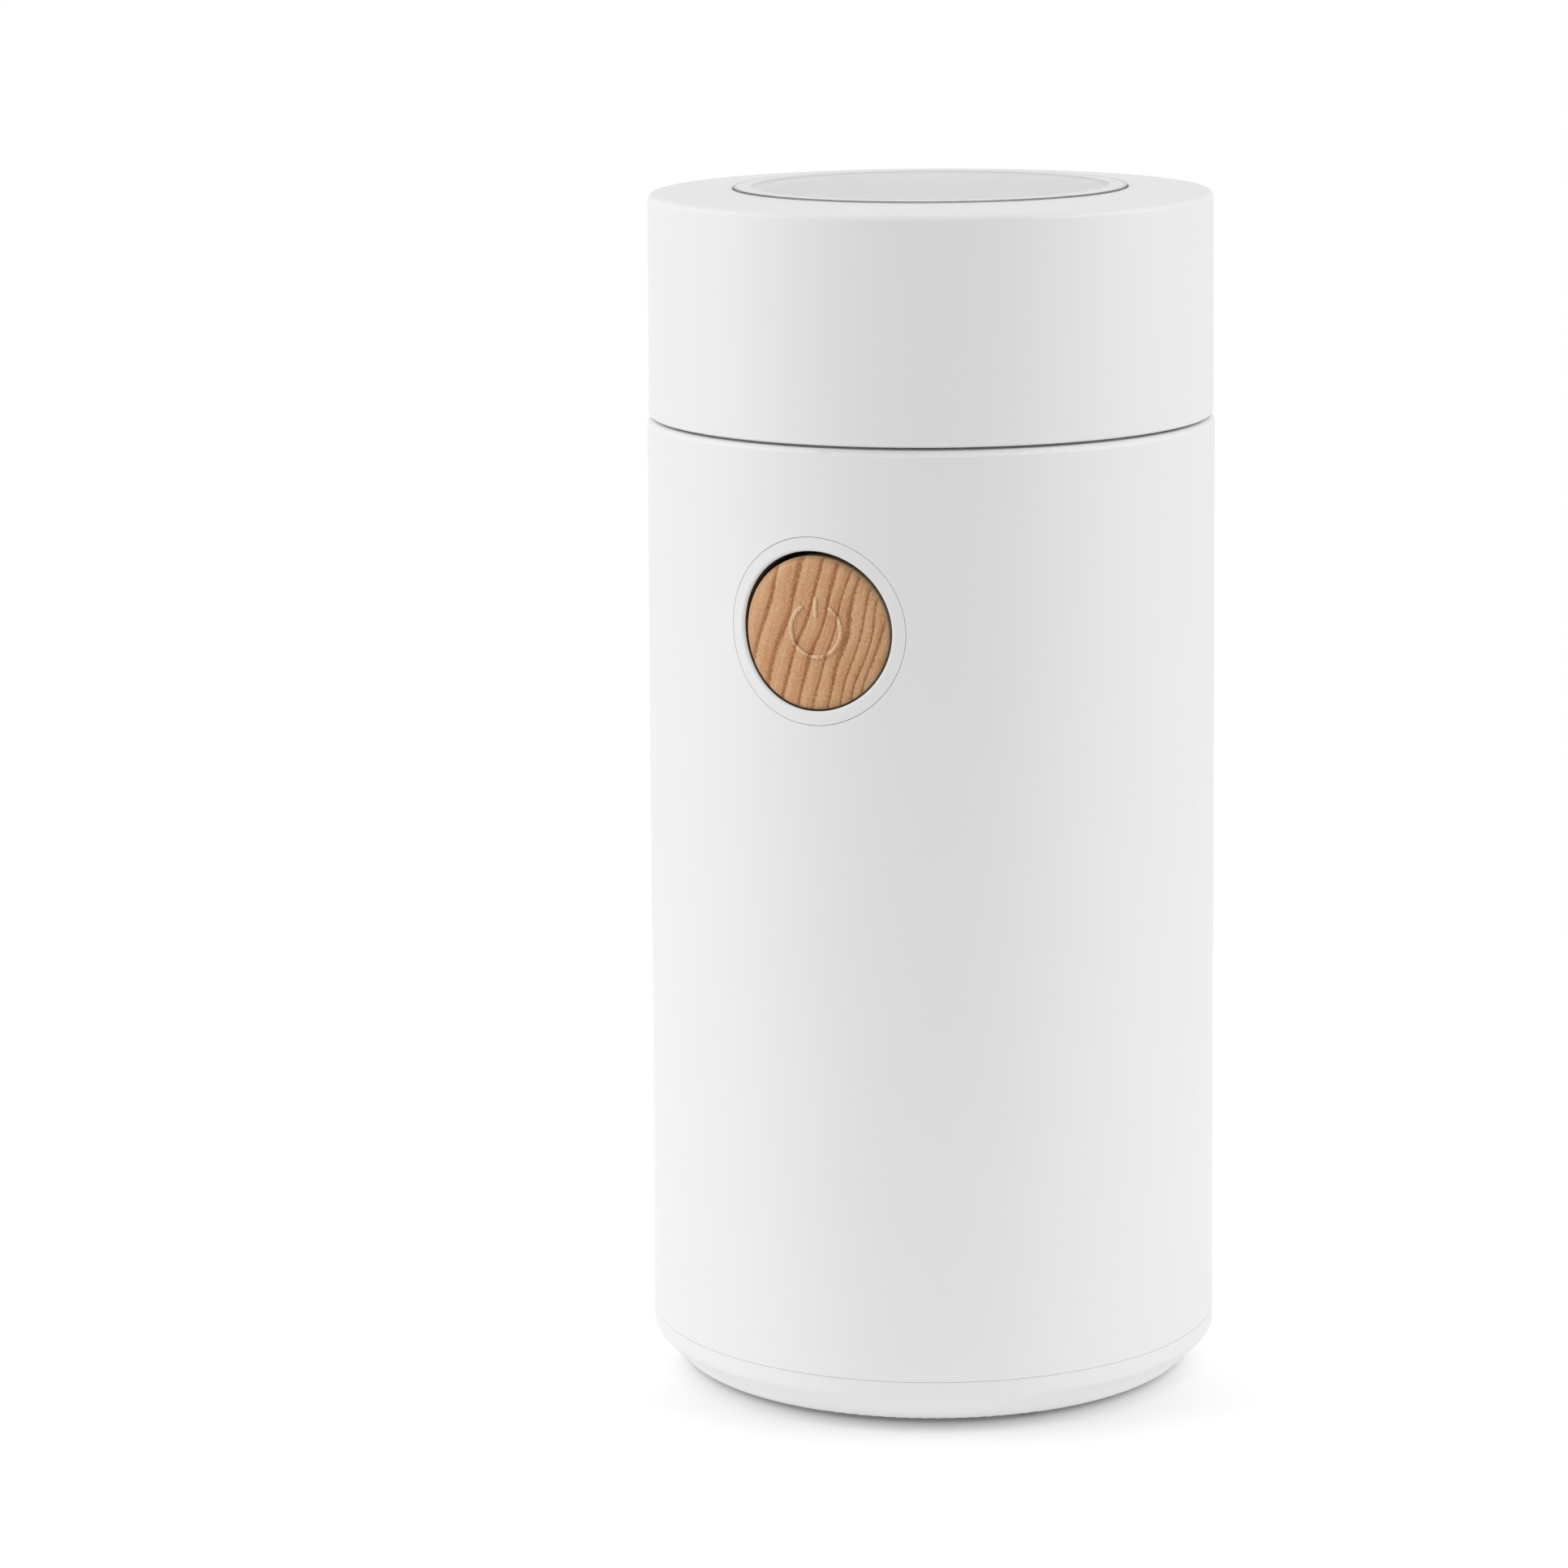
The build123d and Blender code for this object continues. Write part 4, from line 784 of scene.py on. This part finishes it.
@dataclass(frozen=True)
class CoatedBoard(Look):
    """Circuit board under a coloured lacquer, with its copper paths showing as relief."""

    colour: Colour
    path: Colour = (0.09, 0.33, 0.13)
    path_from: float = 0.55
    path_depth: float = 0.035 * MM
    cell: float = 5.08 * MM
    paths_per_cell: float = 2.3
    randomness: float = 0.6
    weave: float = 0.4 * MM
    weave_share: float = 0.15
    roughness: Span = (0.22, 0.34)

    def mix(self, recipe: Recipe) -> None:
        """Mix stepped paths on a grid and a glossy lacquer.

        Args:
            recipe: The material to fill.
        """
        where = recipe.place()
        inputs = {"Vector": where, "Scale": 1 / self.cell, "Randomness": self.randomness}
        cells = recipe.node("TexVoronoi", inputs, distance="MANHATTAN", feature="F2")
        steps = recipe.maths("MULTIPLY", cells.outputs["Distance"], self.paths_per_cell)
        paths = recipe.maths("GREATER_THAN", recipe.maths("FRACT", steps), self.path_from)
        weave = recipe.noise(where, self.weave, detail=2)
        base = recipe.blend(weave, self.colour, darker(self.colour, self.weave_share))
        recipe.shade(
            Base_Color=recipe.blend(paths, base, self.path),
            Roughness=recipe.levels(weave, *self.roughness),
            Normal=recipe.relief(paths, self.path_depth),
        )


class Finish(Enum):
    """The finishes of the grinder's pieces."""

    BODY_WHITE = MouldedPlastic("body_white", (0.80, 0.80, 0.80), (0.43, 0.53), specular=0.3)
    BEZEL_WHITE = LippedPlastic("bezel_white", (0.80, 0.80, 0.80), (0.43, 0.53), specular=0.3)
    WOOD_CAP = WoodLook("wood_cap")
    # The mark's lighter wood colours are a painted highlight that stands for the light on the
    # raised ridge.
    MARK_RIDGE = WoodLook(
        "mark_ridge", light=(0.90, 0.66, 0.43), middle=(0.82, 0.57, 0.35), creased=True
    )
    WINDOW_CLEAR = SeatedPlastic("window_clear", (0.95, 0.95, 0.95), (0.07, 0.17))
    LINER_CLEAR = ClearPlastic("liner_clear", (0.93, 0.95, 0.95), (0.08, 0.18))
    SILICONE = Rubber("silicone", (0.62, 0.62, 0.60), (0.42, 0.58), softness=0.4)
    FOOT_RUBBER = Rubber("foot_rubber", (0.035, 0.035, 0.036))
    GLAND_RUBBER = Rubber("gland_rubber", (0.68, 0.68, 0.67), (0.52, 0.68))
    BOWL_STEEL = TurnedMetal("bowl_steel", (0.62, 0.62, 0.61), (0.18, 0.30))
    BLADE_STEEL = PlatedMetal(
        "blade_steel", (0.66, 0.66, 0.65), mottle=(0.58, 0.58, 0.58), roughness=(0.15, 0.33)
    )
    SHAFT_STEEL = TurnedMetal("shaft_steel", (0.58, 0.58, 0.59), (0.14, 0.26), line=0.06 * MM)
    ZINC_STEEL = PlatedMetal("zinc_steel", (0.60, 0.61, 0.60), mottle=(0.46, 0.47, 0.47))
    BLACK_ZINC = PlatedMetal(
        "black_zinc", (0.055, 0.046, 0.042), mottle=(0.030, 0.025, 0.023), roughness=(0.41, 0.59)
    )
    SPRING_STEEL = TurnedMetal("spring_steel", (0.45, 0.45, 0.47), (0.24, 0.36))
    CORE_STEEL = LaminatedSteel("core_steel", (0.22, 0.22, 0.23))
    COPPER_WIRE = WoundWire("copper_wire", (0.62, 0.25, 0.10))
    COPPER_BAR = TurnedMetal("copper_bar", (0.72, 0.38, 0.22), (0.24, 0.36))
    BRASS = PlatedMetal(
        "brass", (0.70, 0.53, 0.24), mottle=(0.58, 0.43, 0.18), roughness=(0.25, 0.43)
    )
    BRONZE = TurnedMetal("bronze", (0.46, 0.31, 0.16), (0.40, 0.52))
    FERRITE = Rubber("ferrite", (0.055, 0.055, 0.06), (0.52, 0.68))
    CARBON = Rubber("carbon", (0.03, 0.03, 0.032), (0.42, 0.58))
    BLACK_PLASTIC = MouldedPlastic(
        "black_plastic", (0.025, 0.025, 0.027), (0.40, 0.50), depth=0.01 * MM
    )
    CARRIER_BLACK = MouldedPlastic(
        "carrier_black", (0.035, 0.027, 0.024), (0.75, 0.85), specular=0.1
    )
    RED_PLASTIC = MouldedPlastic("red_plastic", (0.55, 0.03, 0.025), (0.30, 0.40))
    BOARD_GREEN = CoatedBoard("board_green", (0.03, 0.17, 0.06))
    CAPACITOR_YELLOW = MouldedPlastic("capacitor_yellow", (0.75, 0.48, 0.04), (0.23, 0.33))
    VARISTOR_BLUE = MouldedPlastic(
        "varistor_blue", (0.03, 0.10, 0.42), (0.25, 0.35), grain=0.8 * MM
    )
    TERMINAL_GREEN = MouldedPlastic("terminal_green", (0.04, 0.36, 0.16), (0.29, 0.39))

    def material(self) -> bpy.types.Material:
        """Return this finish's material, built the first time that it is asked for."""
        return bpy.data.materials.get(self.value.name) or self.value.make()


# ---- Meshes ----


def placed(name: str, data: bpy.types.ID) -> bpy.types.Object:
    """Add a new object to the scene.

    Args:
        name: Name of the object.
        data: The mesh, lamp or camera that it holds.

    Returns:
        The new object.
    """
    made = bpy.data.objects.new(name, data)
    bpy.context.scene.collection.objects.link(made)
    return made


def meshed(name: str, mesh: bmesh.types.BMesh, material: bpy.types.Material) -> bpy.types.Object:
    """Make a piece of a mesh in the making.

    Args:
        name: Name of the piece.
        mesh: The mesh in the making, which is freed.
        material: Its material.

    Returns:
        The new object.
    """
    data = bpy.data.meshes.new(name)
    mesh.to_mesh(data)
    mesh.free()
    data.materials.append(material)
    return placed(name, data)


def skinned(name: str, rings: list[list[Vector]], finish: Finish) -> bpy.types.Object:
    """Make a smooth closed piece through rings with equal numbers of points.

    Args:
        name: Name of the piece.
        rings: The rings, in order along the piece.
        finish: Its finish.

    Returns:
        The new object.
    """
    mesh = bmesh.new()
    rows = [[mesh.verts.new(point) for point in ring] for ring in rings]
    count = len(rings[0])
    for row, following in zip(rows, rows[1:]):
        for i in range(count):
            j = (i + 1) % count
            mesh.faces.new((row[i], row[j], following[j], following[i]))
    mesh.faces.new(reversed(rows[0]))
    mesh.faces.new(rows[-1])
    bmesh.ops.recalc_face_normals(mesh, faces=mesh.faces)
    for face in mesh.faces:
        face.smooth = True
    return meshed(name, mesh, finish.material())


def evenly(start: float, end: float, steps: int) -> list[float]:
    """Return the numbers that split a range into equal steps, with both of its ends."""
    return [start + (end - start) * i / steps for i in range(steps + 1)]


def heading(path: list[Vector], index: int) -> Vector:
    """Return the direction in which a path runs at one of its points."""
    ahead, behind = path[min(index + 1, len(path) - 1)], path[max(index - 1, 0)]
    return (ahead - behind).normalized()


def coil_path(
    start: Triple, end: Triple, aside: int, radii: Span, turns: float, steps: int
) -> list[Vector]:
    """Wind a helix that starts on the side of +X.

    Args:
        start: Start of its axis.
        end: End of its axis.
        aside: Where it turns to from X: 1 for Y, 2 for Z.
        radii: Radius at the start and at the end.
        turns: Number of turns.
        steps: Number of straight bits.

    Returns:
        Its points.
    """
    path = []
    for share in evenly(0.0, 1.0, steps):
        radius = radii[0] + (radii[1] - radii[0]) * share
        angle = math.tau * turns * share
        point = [a + (b - a) * share for a, b in zip(start, end)]
        point[0] += radius * math.cos(angle)
        point[aside] += radius * math.sin(angle)
        path.append(Vector(point))
    return path


def wire_rings(path: list[Vector], radius: float, sides: int = 12) -> list[list[Vector]]:
    """Put round sections along a smooth path.

    Args:
        path: The wire's centreline.
        radius: Radius of the wire.
        sides: Points in each section.

    Returns:
        One ring per point of the path.
    """
    rings = []
    across = None
    for i, point in enumerate(path):
        along = heading(path, i)
        if across is None:
            across = along.orthogonal().normalized()
        across = (across - along * across.dot(along)).normalized()
        up = along.cross(across)
        ring = []
        for angle in evenly(0.0, math.tau, sides)[:-1]:
            ring.append(point + across * math.cos(angle) * radius + up * math.sin(angle) * radius)
        rings.append(ring)
    return rings


# ---- Sub-assemblies ----


@dataclass
class SubAssembly:
    """Pieces that belong together.

    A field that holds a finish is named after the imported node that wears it.
    """

    frame: dict

    def dress(self) -> None:
        """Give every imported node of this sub-assembly its material."""
        for held in fields(self):
            finish = getattr(self, held.name)
            if isinstance(finish, Finish):
                mesh = self.frame["nodes"][held.name].data
                mesh.materials.clear()
                mesh.materials.append(finish.material())
                log.info("%s wears %s", held.name, finish.value.name)

    def build(self) -> None:
        """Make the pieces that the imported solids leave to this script."""


@dataclass
class Housing(SubAssembly):
    """Housing shell, base cover, feet, screws and the cord gland."""

    housing_shell: Finish = Finish.BODY_WHITE
    base_cover: Finish = Finish.BODY_WHITE
    rubber_feet: Finish = Finish.FOOT_RUBBER
    base_screws: Finish = Finish.ZINC_STEEL
    cord_gland: Finish = Finish.GLAND_RUBBER


@dataclass
class Lid(SubAssembly):
    """Lift-off lid with its window, liner and seal."""

    lid_shell: Finish = Finish.BODY_WHITE
    lid_window: Finish = Finish.WINDOW_CLEAR
    lid_liner: Finish = Finish.LINER_CLEAR
    lid_seal: Finish = Finish.SILICONE


@dataclass
class Bowl(SubAssembly):
    """Grinding bowl, the deck that carries it and the seals round it."""

    top_deck: Finish = Finish.BODY_WHITE
    grinding_bowl: Finish = Finish.BOWL_STEEL
    bowl_gasket: Finish = Finish.SILICONE
    shaft_seal: Finish = Finish.SILICONE
    shaft_bushing: Finish = Finish.BRONZE


@dataclass
class Button(SubAssembly):
    """Push button: bezel, wood-look cap with a raised power mark, carrier and spring.

    Attributes:
        mark_gap: Half of the angle that the mark's ring leaves open at the top.
        mark_bar: Where the mark's bar starts and ends above the ring's middle.
        mark_shift: How far the mark lies across and up from the cap's middle.
        ridge_root: How deep a ridge's foot sits in the cap.
        ridge_tip: Least size of a ridge towards its ends, as a share.
        ridge_slope: How soon a ridge's side has risen clear of the painted shade at its foot.
        probe_from: Y from which the cap's face is sought.
    """

    button_bezel: Finish = Finish.BEZEL_WHITE
    button_cap: Finish = Finish.WOOD_CAP
    button_carrier: Finish = Finish.CARRIER_BLACK
    mark_radius: float = 3.85 * MM
    mark_gap: float = math.radians(29)
    mark_bar: Span = (1.7 * MM, 4.8 * MM)
    mark_shift: Span = (0.45 * MM, 0.55 * MM)
    ring_steps: int = 72
    bar_steps: int = 24
    ridge_width: float = 0.62 * MM
    ridge_height: float = 0.34 * MM
    ridge_root: float = 0.08 * MM
    ridge_arc: int = 12
    ridge_tip: float = 0.12
    ridge_slope: float = 2.5
    probe_from: float = -1.0
    spring_wire: float = 0.45 * MM
    spring_radii: Span = (6.3 * MM, 4.6 * MM)
    spring_turns: float = 3.0
    spring_steps: int = 120

    def build(self) -> None:
        """Make the power mark and the return spring."""
        for name, path in (("power_mark_ring", self.ring()), ("power_mark_bar", self.bar())):
            piece = skinned(name, self.ridge(self.touched(path)), Finish.MARK_RIDGE)
            # The rise attribute says where the painted shade at the ridge's foot falls.
            rise = piece.data.attributes.new(RISE, "FLOAT", "POINT")
            arc = evenly(0.0, math.pi, self.ridge_arc)
            section = [0.0, *(min(self.ridge_slope * math.sin(a), 1.0) for a in arc), 0.0]
            rise.data.foreach_set("value", section * len(path))
            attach(piece, "button")
            log.info("%s made", name)
        self.coil()

    def ring(self) -> list[Span]:
        """Return points across and up from the mark's middle, round its open ring."""
        angles = evenly(self.mark_gap, math.tau - self.mark_gap, self.ring_steps)
        return [(self.mark_radius * math.sin(a), self.mark_radius * math.cos(a)) for a in angles]

    def bar(self) -> list[Span]:
        """Return points across and up from the mark's middle, along its upright bar."""
        return [(0.0, up) for up in evenly(*self.mark_bar, self.bar_steps)]

    def touched(self, path: list[Span]) -> list[tuple[Vector, Vector]]:
        """Project a path onto the cap's curved face.

        Args:
            path: Points across and up from the mark's middle.

        Returns:
            Points on the face with its normals there.
        """
        cap = self.frame["nodes"]["button_cap"]
        surface = BVHTree.FromObject(cap, bpy.context.evaluated_depsgraph_get())
        low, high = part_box("button_cap")
        middle = (low + high) / 2 + Vector((self.mark_shift[0], 0, self.mark_shift[1]))
        spots = []
        for across, up in path:
            start = Vector((middle.x + across, self.probe_from, middle.z + up))
            point, normal, _, _ = surface.ray_cast(start, Vector((0, 1, 0)))
            spots.append((point, normal))
        return spots

    def ridge(self, spots: list[tuple[Vector, Vector]]) -> list[list[Vector]]:
        """Lay a rounded ridge on the cap's face.

        Args:
            spots: Points on the face with its normals there.

        Returns:
            Sections of the ridge, shrunk to round ends.
        """
        points = [point for point, _ in spots]
        length = sum((b - a).length for a, b in zip(points, points[1:]))
        half = self.ridge_width / 2
        rings = []
        run = 0.0
        for i, (point, normal) in enumerate(spots):
            side = normal.cross(heading(points, i)).normalized()
            if i:
                run += (point - points[i - 1]).length
            reach = min(run, length - run, half) / half
            size = max(math.sqrt(1 - (1 - reach) ** 2), self.ridge_tip)
            ring = [point - side * half * size - normal * self.ridge_root]
            for angle in evenly(0.0, math.pi, self.ridge_arc):
                ring.append(
                    point
                    - side * half * size * math.cos(angle)
                    + normal * self.ridge_height * size * math.sin(angle)
                )
            ring.append(point + side * half * size - normal * self.ridge_root)
            rings.append(ring)
        return rings

    def coil(self) -> None:
        """Make the conical return spring between the bracket and the carrier."""
        low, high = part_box("button_spring")
        middle = (low + high) / 2
        wire = self.spring_wire / 2
        path = coil_path(
            (middle.x, low.y + wire, middle.z),
            (middle.x, high.y - wire, middle.z),
            aside=2,
            radii=self.spring_radii,
            turns=self.spring_turns,
            steps=self.spring_steps,
        )
        spring = skinned("button_return_spring", wire_rings(path, wire), Finish.SPRING_STEEL)
        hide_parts("button_spring")
        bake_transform(spring)
        log.info("button_return_spring made")


@dataclass
class SwitchGear(SubAssembly):
    """Power switch on its bracket, with the plunger that the button's leg pushes."""

    switch_bracket: Finish = Finish.BLACK_ZINC
    power_switch: Finish = Finish.BLACK_PLASTIC
    switch_plunger: Finish = Finish.RED_PLASTIC


@dataclass
class Interlock(SubAssembly):
    """Pin beside the bowl, its spring and the small switch under it."""

    interlock_pin: Finish = Finish.SHAFT_STEEL
    interlock_switch: Finish = Finish.BLACK_PLASTIC
    spring_wire: float = 0.4 * MM
    spring_turns: float = 5.0
    spring_steps: int = 160

    def build(self) -> None:
        """Make the round-wire spring at rest; the real one stretches as the pin rises, this mesh
        does not.
        """
        low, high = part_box("interlock_spring")
        middle = (low + high) / 2
        wire = self.spring_wire / 2
        radius = (high.x - low.x) / 2 - wire
        path = coil_path(
            (middle.x, middle.y, low.z + wire),
            (middle.x, middle.y, high.z - wire),
            aside=1,
            radii=(radius, radius),
            turns=self.spring_turns,
            steps=self.spring_steps,
        )
        spring = skinned("interlock_return_spring", wire_rings(path, wire), Finish.SPRING_STEEL)
        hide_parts("interlock_spring")
        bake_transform(spring)
        log.info("interlock_return_spring made")


@dataclass
class Motor(SubAssembly):
    """Motor with its mount, can, end bell, magnets, bearings and brush gear."""

    motor_mount: Finish = Finish.BLACK_PLASTIC
    mount_screws: Finish = Finish.ZINC_STEEL
    motor_damper: Finish = Finish.FOOT_RUBBER
    motor_can: Finish = Finish.ZINC_STEEL
    motor_end_bell: Finish = Finish.BLACK_PLASTIC
    motor_bearings: Finish = Finish.SHAFT_STEEL
    motor_magnets: Finish = Finish.FERRITE
    brush_holders: Finish = Finish.BRASS
    carbon_brushes: Finish = Finish.CARBON
    brush_springs: Finish = Finish.SPRING_STEEL


@dataclass
class Rotor(SubAssembly):
    """Everything on the shaft: armature, commutator, fan, blade and nut."""

    motor_shaft: Finish = Finish.SHAFT_STEEL
    armature_core: Finish = Finish.CORE_STEEL
    armature_windings: Finish = Finish.COPPER_WIRE
    commutator: Finish = Finish.COPPER_BAR
    cooling_fan: Finish = Finish.BLACK_PLASTIC
    blade: Finish = Finish.BLADE_STEEL
    blade_nut: Finish = Finish.BLACK_PLASTIC


@dataclass
class ControlBoard(SubAssembly):
    """Circuit board with its parts, and the protector on the motor."""

    circuit_board: Finish = Finish.BOARD_GREEN
    board_screws: Finish = Finish.ZINC_STEEL
    bridge_rectifier: Finish = Finish.BLACK_PLASTIC
    noise_capacitor: Finish = Finish.CAPACITOR_YELLOW
    terminal_block: Finish = Finish.TERMINAL_GREEN
    varistor: Finish = Finish.VARISTOR_BLUE
    thermal_protector: Finish = Finish.BLACK_PLASTIC


# ---- Studio ----


@dataclass(frozen=True)
class Viewpoint:
    """Where the camera stands, measured from the grinder's axis, and how it looks."""

    turn: float = math.radians(24.4)
    side: float = -10.11 * MM
    distance: float = 743.6 * MM
    height: float = 238.0 * MM
    yaw: float = -0.0163
    pitch: float = 0.1992
    roll: float = -0.0087
    focal_pixels: float = 6208.6
    image_pixels: int = 1932
    sensor_mm: float = 36.0

    def make(self) -> None:
        """Create the camera and hand it to the scene."""
        level = math.cos(self.pitch)
        ahead = Vector(
            (math.sin(self.yaw) * level, math.cos(self.yaw) * level, -math.sin(self.pitch))
        )
        right = Vector((math.cos(self.yaw), -math.sin(self.yaw), 0))
        up = right.cross(ahead)
        across = right * math.cos(self.roll) + up * math.sin(self.roll)
        upright = up * math.cos(self.roll) - right * math.sin(self.roll)
        stand = Matrix((across, upright, -ahead)).transposed().to_4x4()
        stand.translation = Vector((self.side, -self.distance, self.height))
        data = bpy.data.cameras.new("camera")
        data.sensor_width = self.sensor_mm
        data.lens = self.focal_pixels / self.image_pixels * self.sensor_mm
        camera = placed("camera", data)
        camera.matrix_world = Matrix.Rotation(self.turn, 4, "Z") @ stand
        bpy.context.scene.camera = camera


@dataclass(frozen=True)
class Softbox:
    """A large soft lamp that stands round the grinder, its azimuth counted from the camera."""

    name: str
    azimuth: float
    elevation: float
    watts: float
    height: float = 1.0
    width: float = 0.8
    distance: float = 1.2

    def make(self, target: Vector) -> None:
        """Create the lamp.

        Args:
            target: The point that it faces.
        """
        angle, rise = Viewpoint.turn + math.radians(self.azimuth), math.radians(self.elevation)
        away = Vector(
            (math.sin(angle) * math.cos(rise), -math.cos(angle) * math.cos(rise), math.sin(rise))
        )
        data = bpy.data.lights.new(self.name, "AREA")
        data.shape = "RECTANGLE"
        data.size, data.size_y = self.width, self.height
        data.energy = self.watts
        lamp = placed(self.name, data)
        lamp.location = target + away * self.distance
        lamp.rotation_mode = "QUATERNION"
        lamp.rotation_quaternion = (-away).to_track_quat("-Z", "Y")


@dataclass(frozen=True)
class Studio:
    """Pale round floor, three soft lamps, an even white world and the camera.

    Attributes:
        bounce: Light that the floor throws up at the base's bevel.
        bounce_ring: Radii at which that light starts, is full, fades and ends.
        contact_from: Openness below which the floor by the base is darkest.
        contact_reach: How far the base darkens the floor beside it and in front.
        contact_left: Least share of the floor's light beside the base and in front.
    """

    lamps: tuple[Softbox, ...] = (
        Softbox("left_softbox", azimuth=-90, elevation=24, watts=8.1),
        Softbox("right_softbox", azimuth=87, elevation=26, watts=7.1),
        Softbox("front_softbox", azimuth=0, elevation=30, watts=2.7, height=0.8),
    )
    ambient: float = 0.5
    floor_radius: float = 0.3
    floor_sides: int = 96
    floor_grey: float = 0.92
    floor_glow: float = 0.31
    bounce: float = 0.28
    bounce_ring: tuple[float, float, float, float] = (38.5 * MM, 39.5 * MM, 43.0 * MM, 46.0 * MM)
    contact_from: float = 0.12
    contact_reach: Span = (24 * MM, 130 * MM)
    contact_left: Span = (0.86, 0.37)

    def make(self) -> None:
        """Set up the whole studio."""
        bpy.context.scene.view_settings.view_transform = "Standard"
        low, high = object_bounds()
        for lamp in self.lamps:
            lamp.make((low + high) / 2)
        self.world()
        self.floor()
        Viewpoint().make()

    def world(self) -> None:
        """Light the scene evenly, and show white to the camera, gloss and glass."""
        world = bpy.data.worlds.new("studio")
        bpy.context.scene.world = world
        world.use_nodes = True
        graph = Graph(world.node_tree)
        background = next(n for n in graph.tree.nodes if n.type == "BACKGROUND")
        graph.feed(background.inputs["Color"], WHITE)
        strength = graph.levels(graph.seen_directly(), low=self.ambient)
        graph.feed(background.inputs["Strength"], strength)

    def floor(self) -> None:
        """Make the floor disc: plain for the grinder, brighter where it is seen."""
        material = bpy.data.materials.new("studio_floor")
        material.use_nodes = True
        graph = Graph(material.node_tree)
        graph.tree.nodes.clear()
        plain = graph.glowing(
            {"Color": (self.floor_grey,) * 3}, {"Strength": self.rim_bounce(graph)}
        )
        left = self.contact(graph)
        grey = graph.maths("MULTIPLY", left, self.floor_grey)
        glow = graph.maths("MULTIPLY", left, self.floor_glow)
        shown = graph.glowing({"Color": grey}, {"Color": glow})
        both = graph.node("MixShader", {0: graph.seen_directly(), 1: plain, 2: shown})
        graph.node("OutputMaterial", {"Surface": both.outputs[0]})
        mesh = bmesh.new()
        bmesh.ops.create_circle(
            mesh, cap_ends=True, radius=self.floor_radius, segments=self.floor_sides
        )
        floor = meshed("floor", mesh, material)
        floor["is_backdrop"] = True

    def rim_bounce(self, graph: Graph) -> Socket:
        """Find the light that the floor throws up at the base's bevel.

        Args:
            graph: The floor's nodes.

        Returns:
            The strength, which is nil away from a ring under the bevel.
        """
        distance = graph.vectors("LENGTH", graph.place())
        start, full, fading, end = self.bounce_ring
        rising = graph.levels(distance, high=self.bounce, start=start, end=full)
        falling = graph.levels(distance, start=end, end=fading)
        return graph.maths("MULTIPLY", rising, falling)

    def contact(self, graph: Graph) -> Socket:
        """Find how much of the floor's light is left near the base, least of it in front.

        Args:
            graph: The floor's nodes.

        Returns:
            The share that is left, from 0 to 1.
        """
        outward = graph.vectors("NORMALIZE", graph.place())
        front = (math.sin(Viewpoint.turn), -math.cos(Viewpoint.turn), 0)
        facing = graph.vectors("DOT_PRODUCT", outward, front)
        reach = graph.levels(facing, *self.contact_reach)
        openness = graph.node("AmbientOcclusion", {"Distance": reach}).outputs["AO"]
        least = graph.levels(facing, *self.contact_left)
        return graph.levels(openness, low=least, start=self.contact_from)


def main() -> None:
    """Load the frame, build and dress every sub-assembly, and set up the studio."""
    logging.basicConfig(level=logging.INFO, format="%(name)s: %(message)s")
    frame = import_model()
    for kind in (Housing, Lid, Bowl, Button, SwitchGear, Interlock, Motor, Rotor, ControlBoard):
        part = kind(frame)
        part.dress()
        part.build()
    Studio().make()
    log.info("sizes written")


if __name__ == "__main__":
    main()
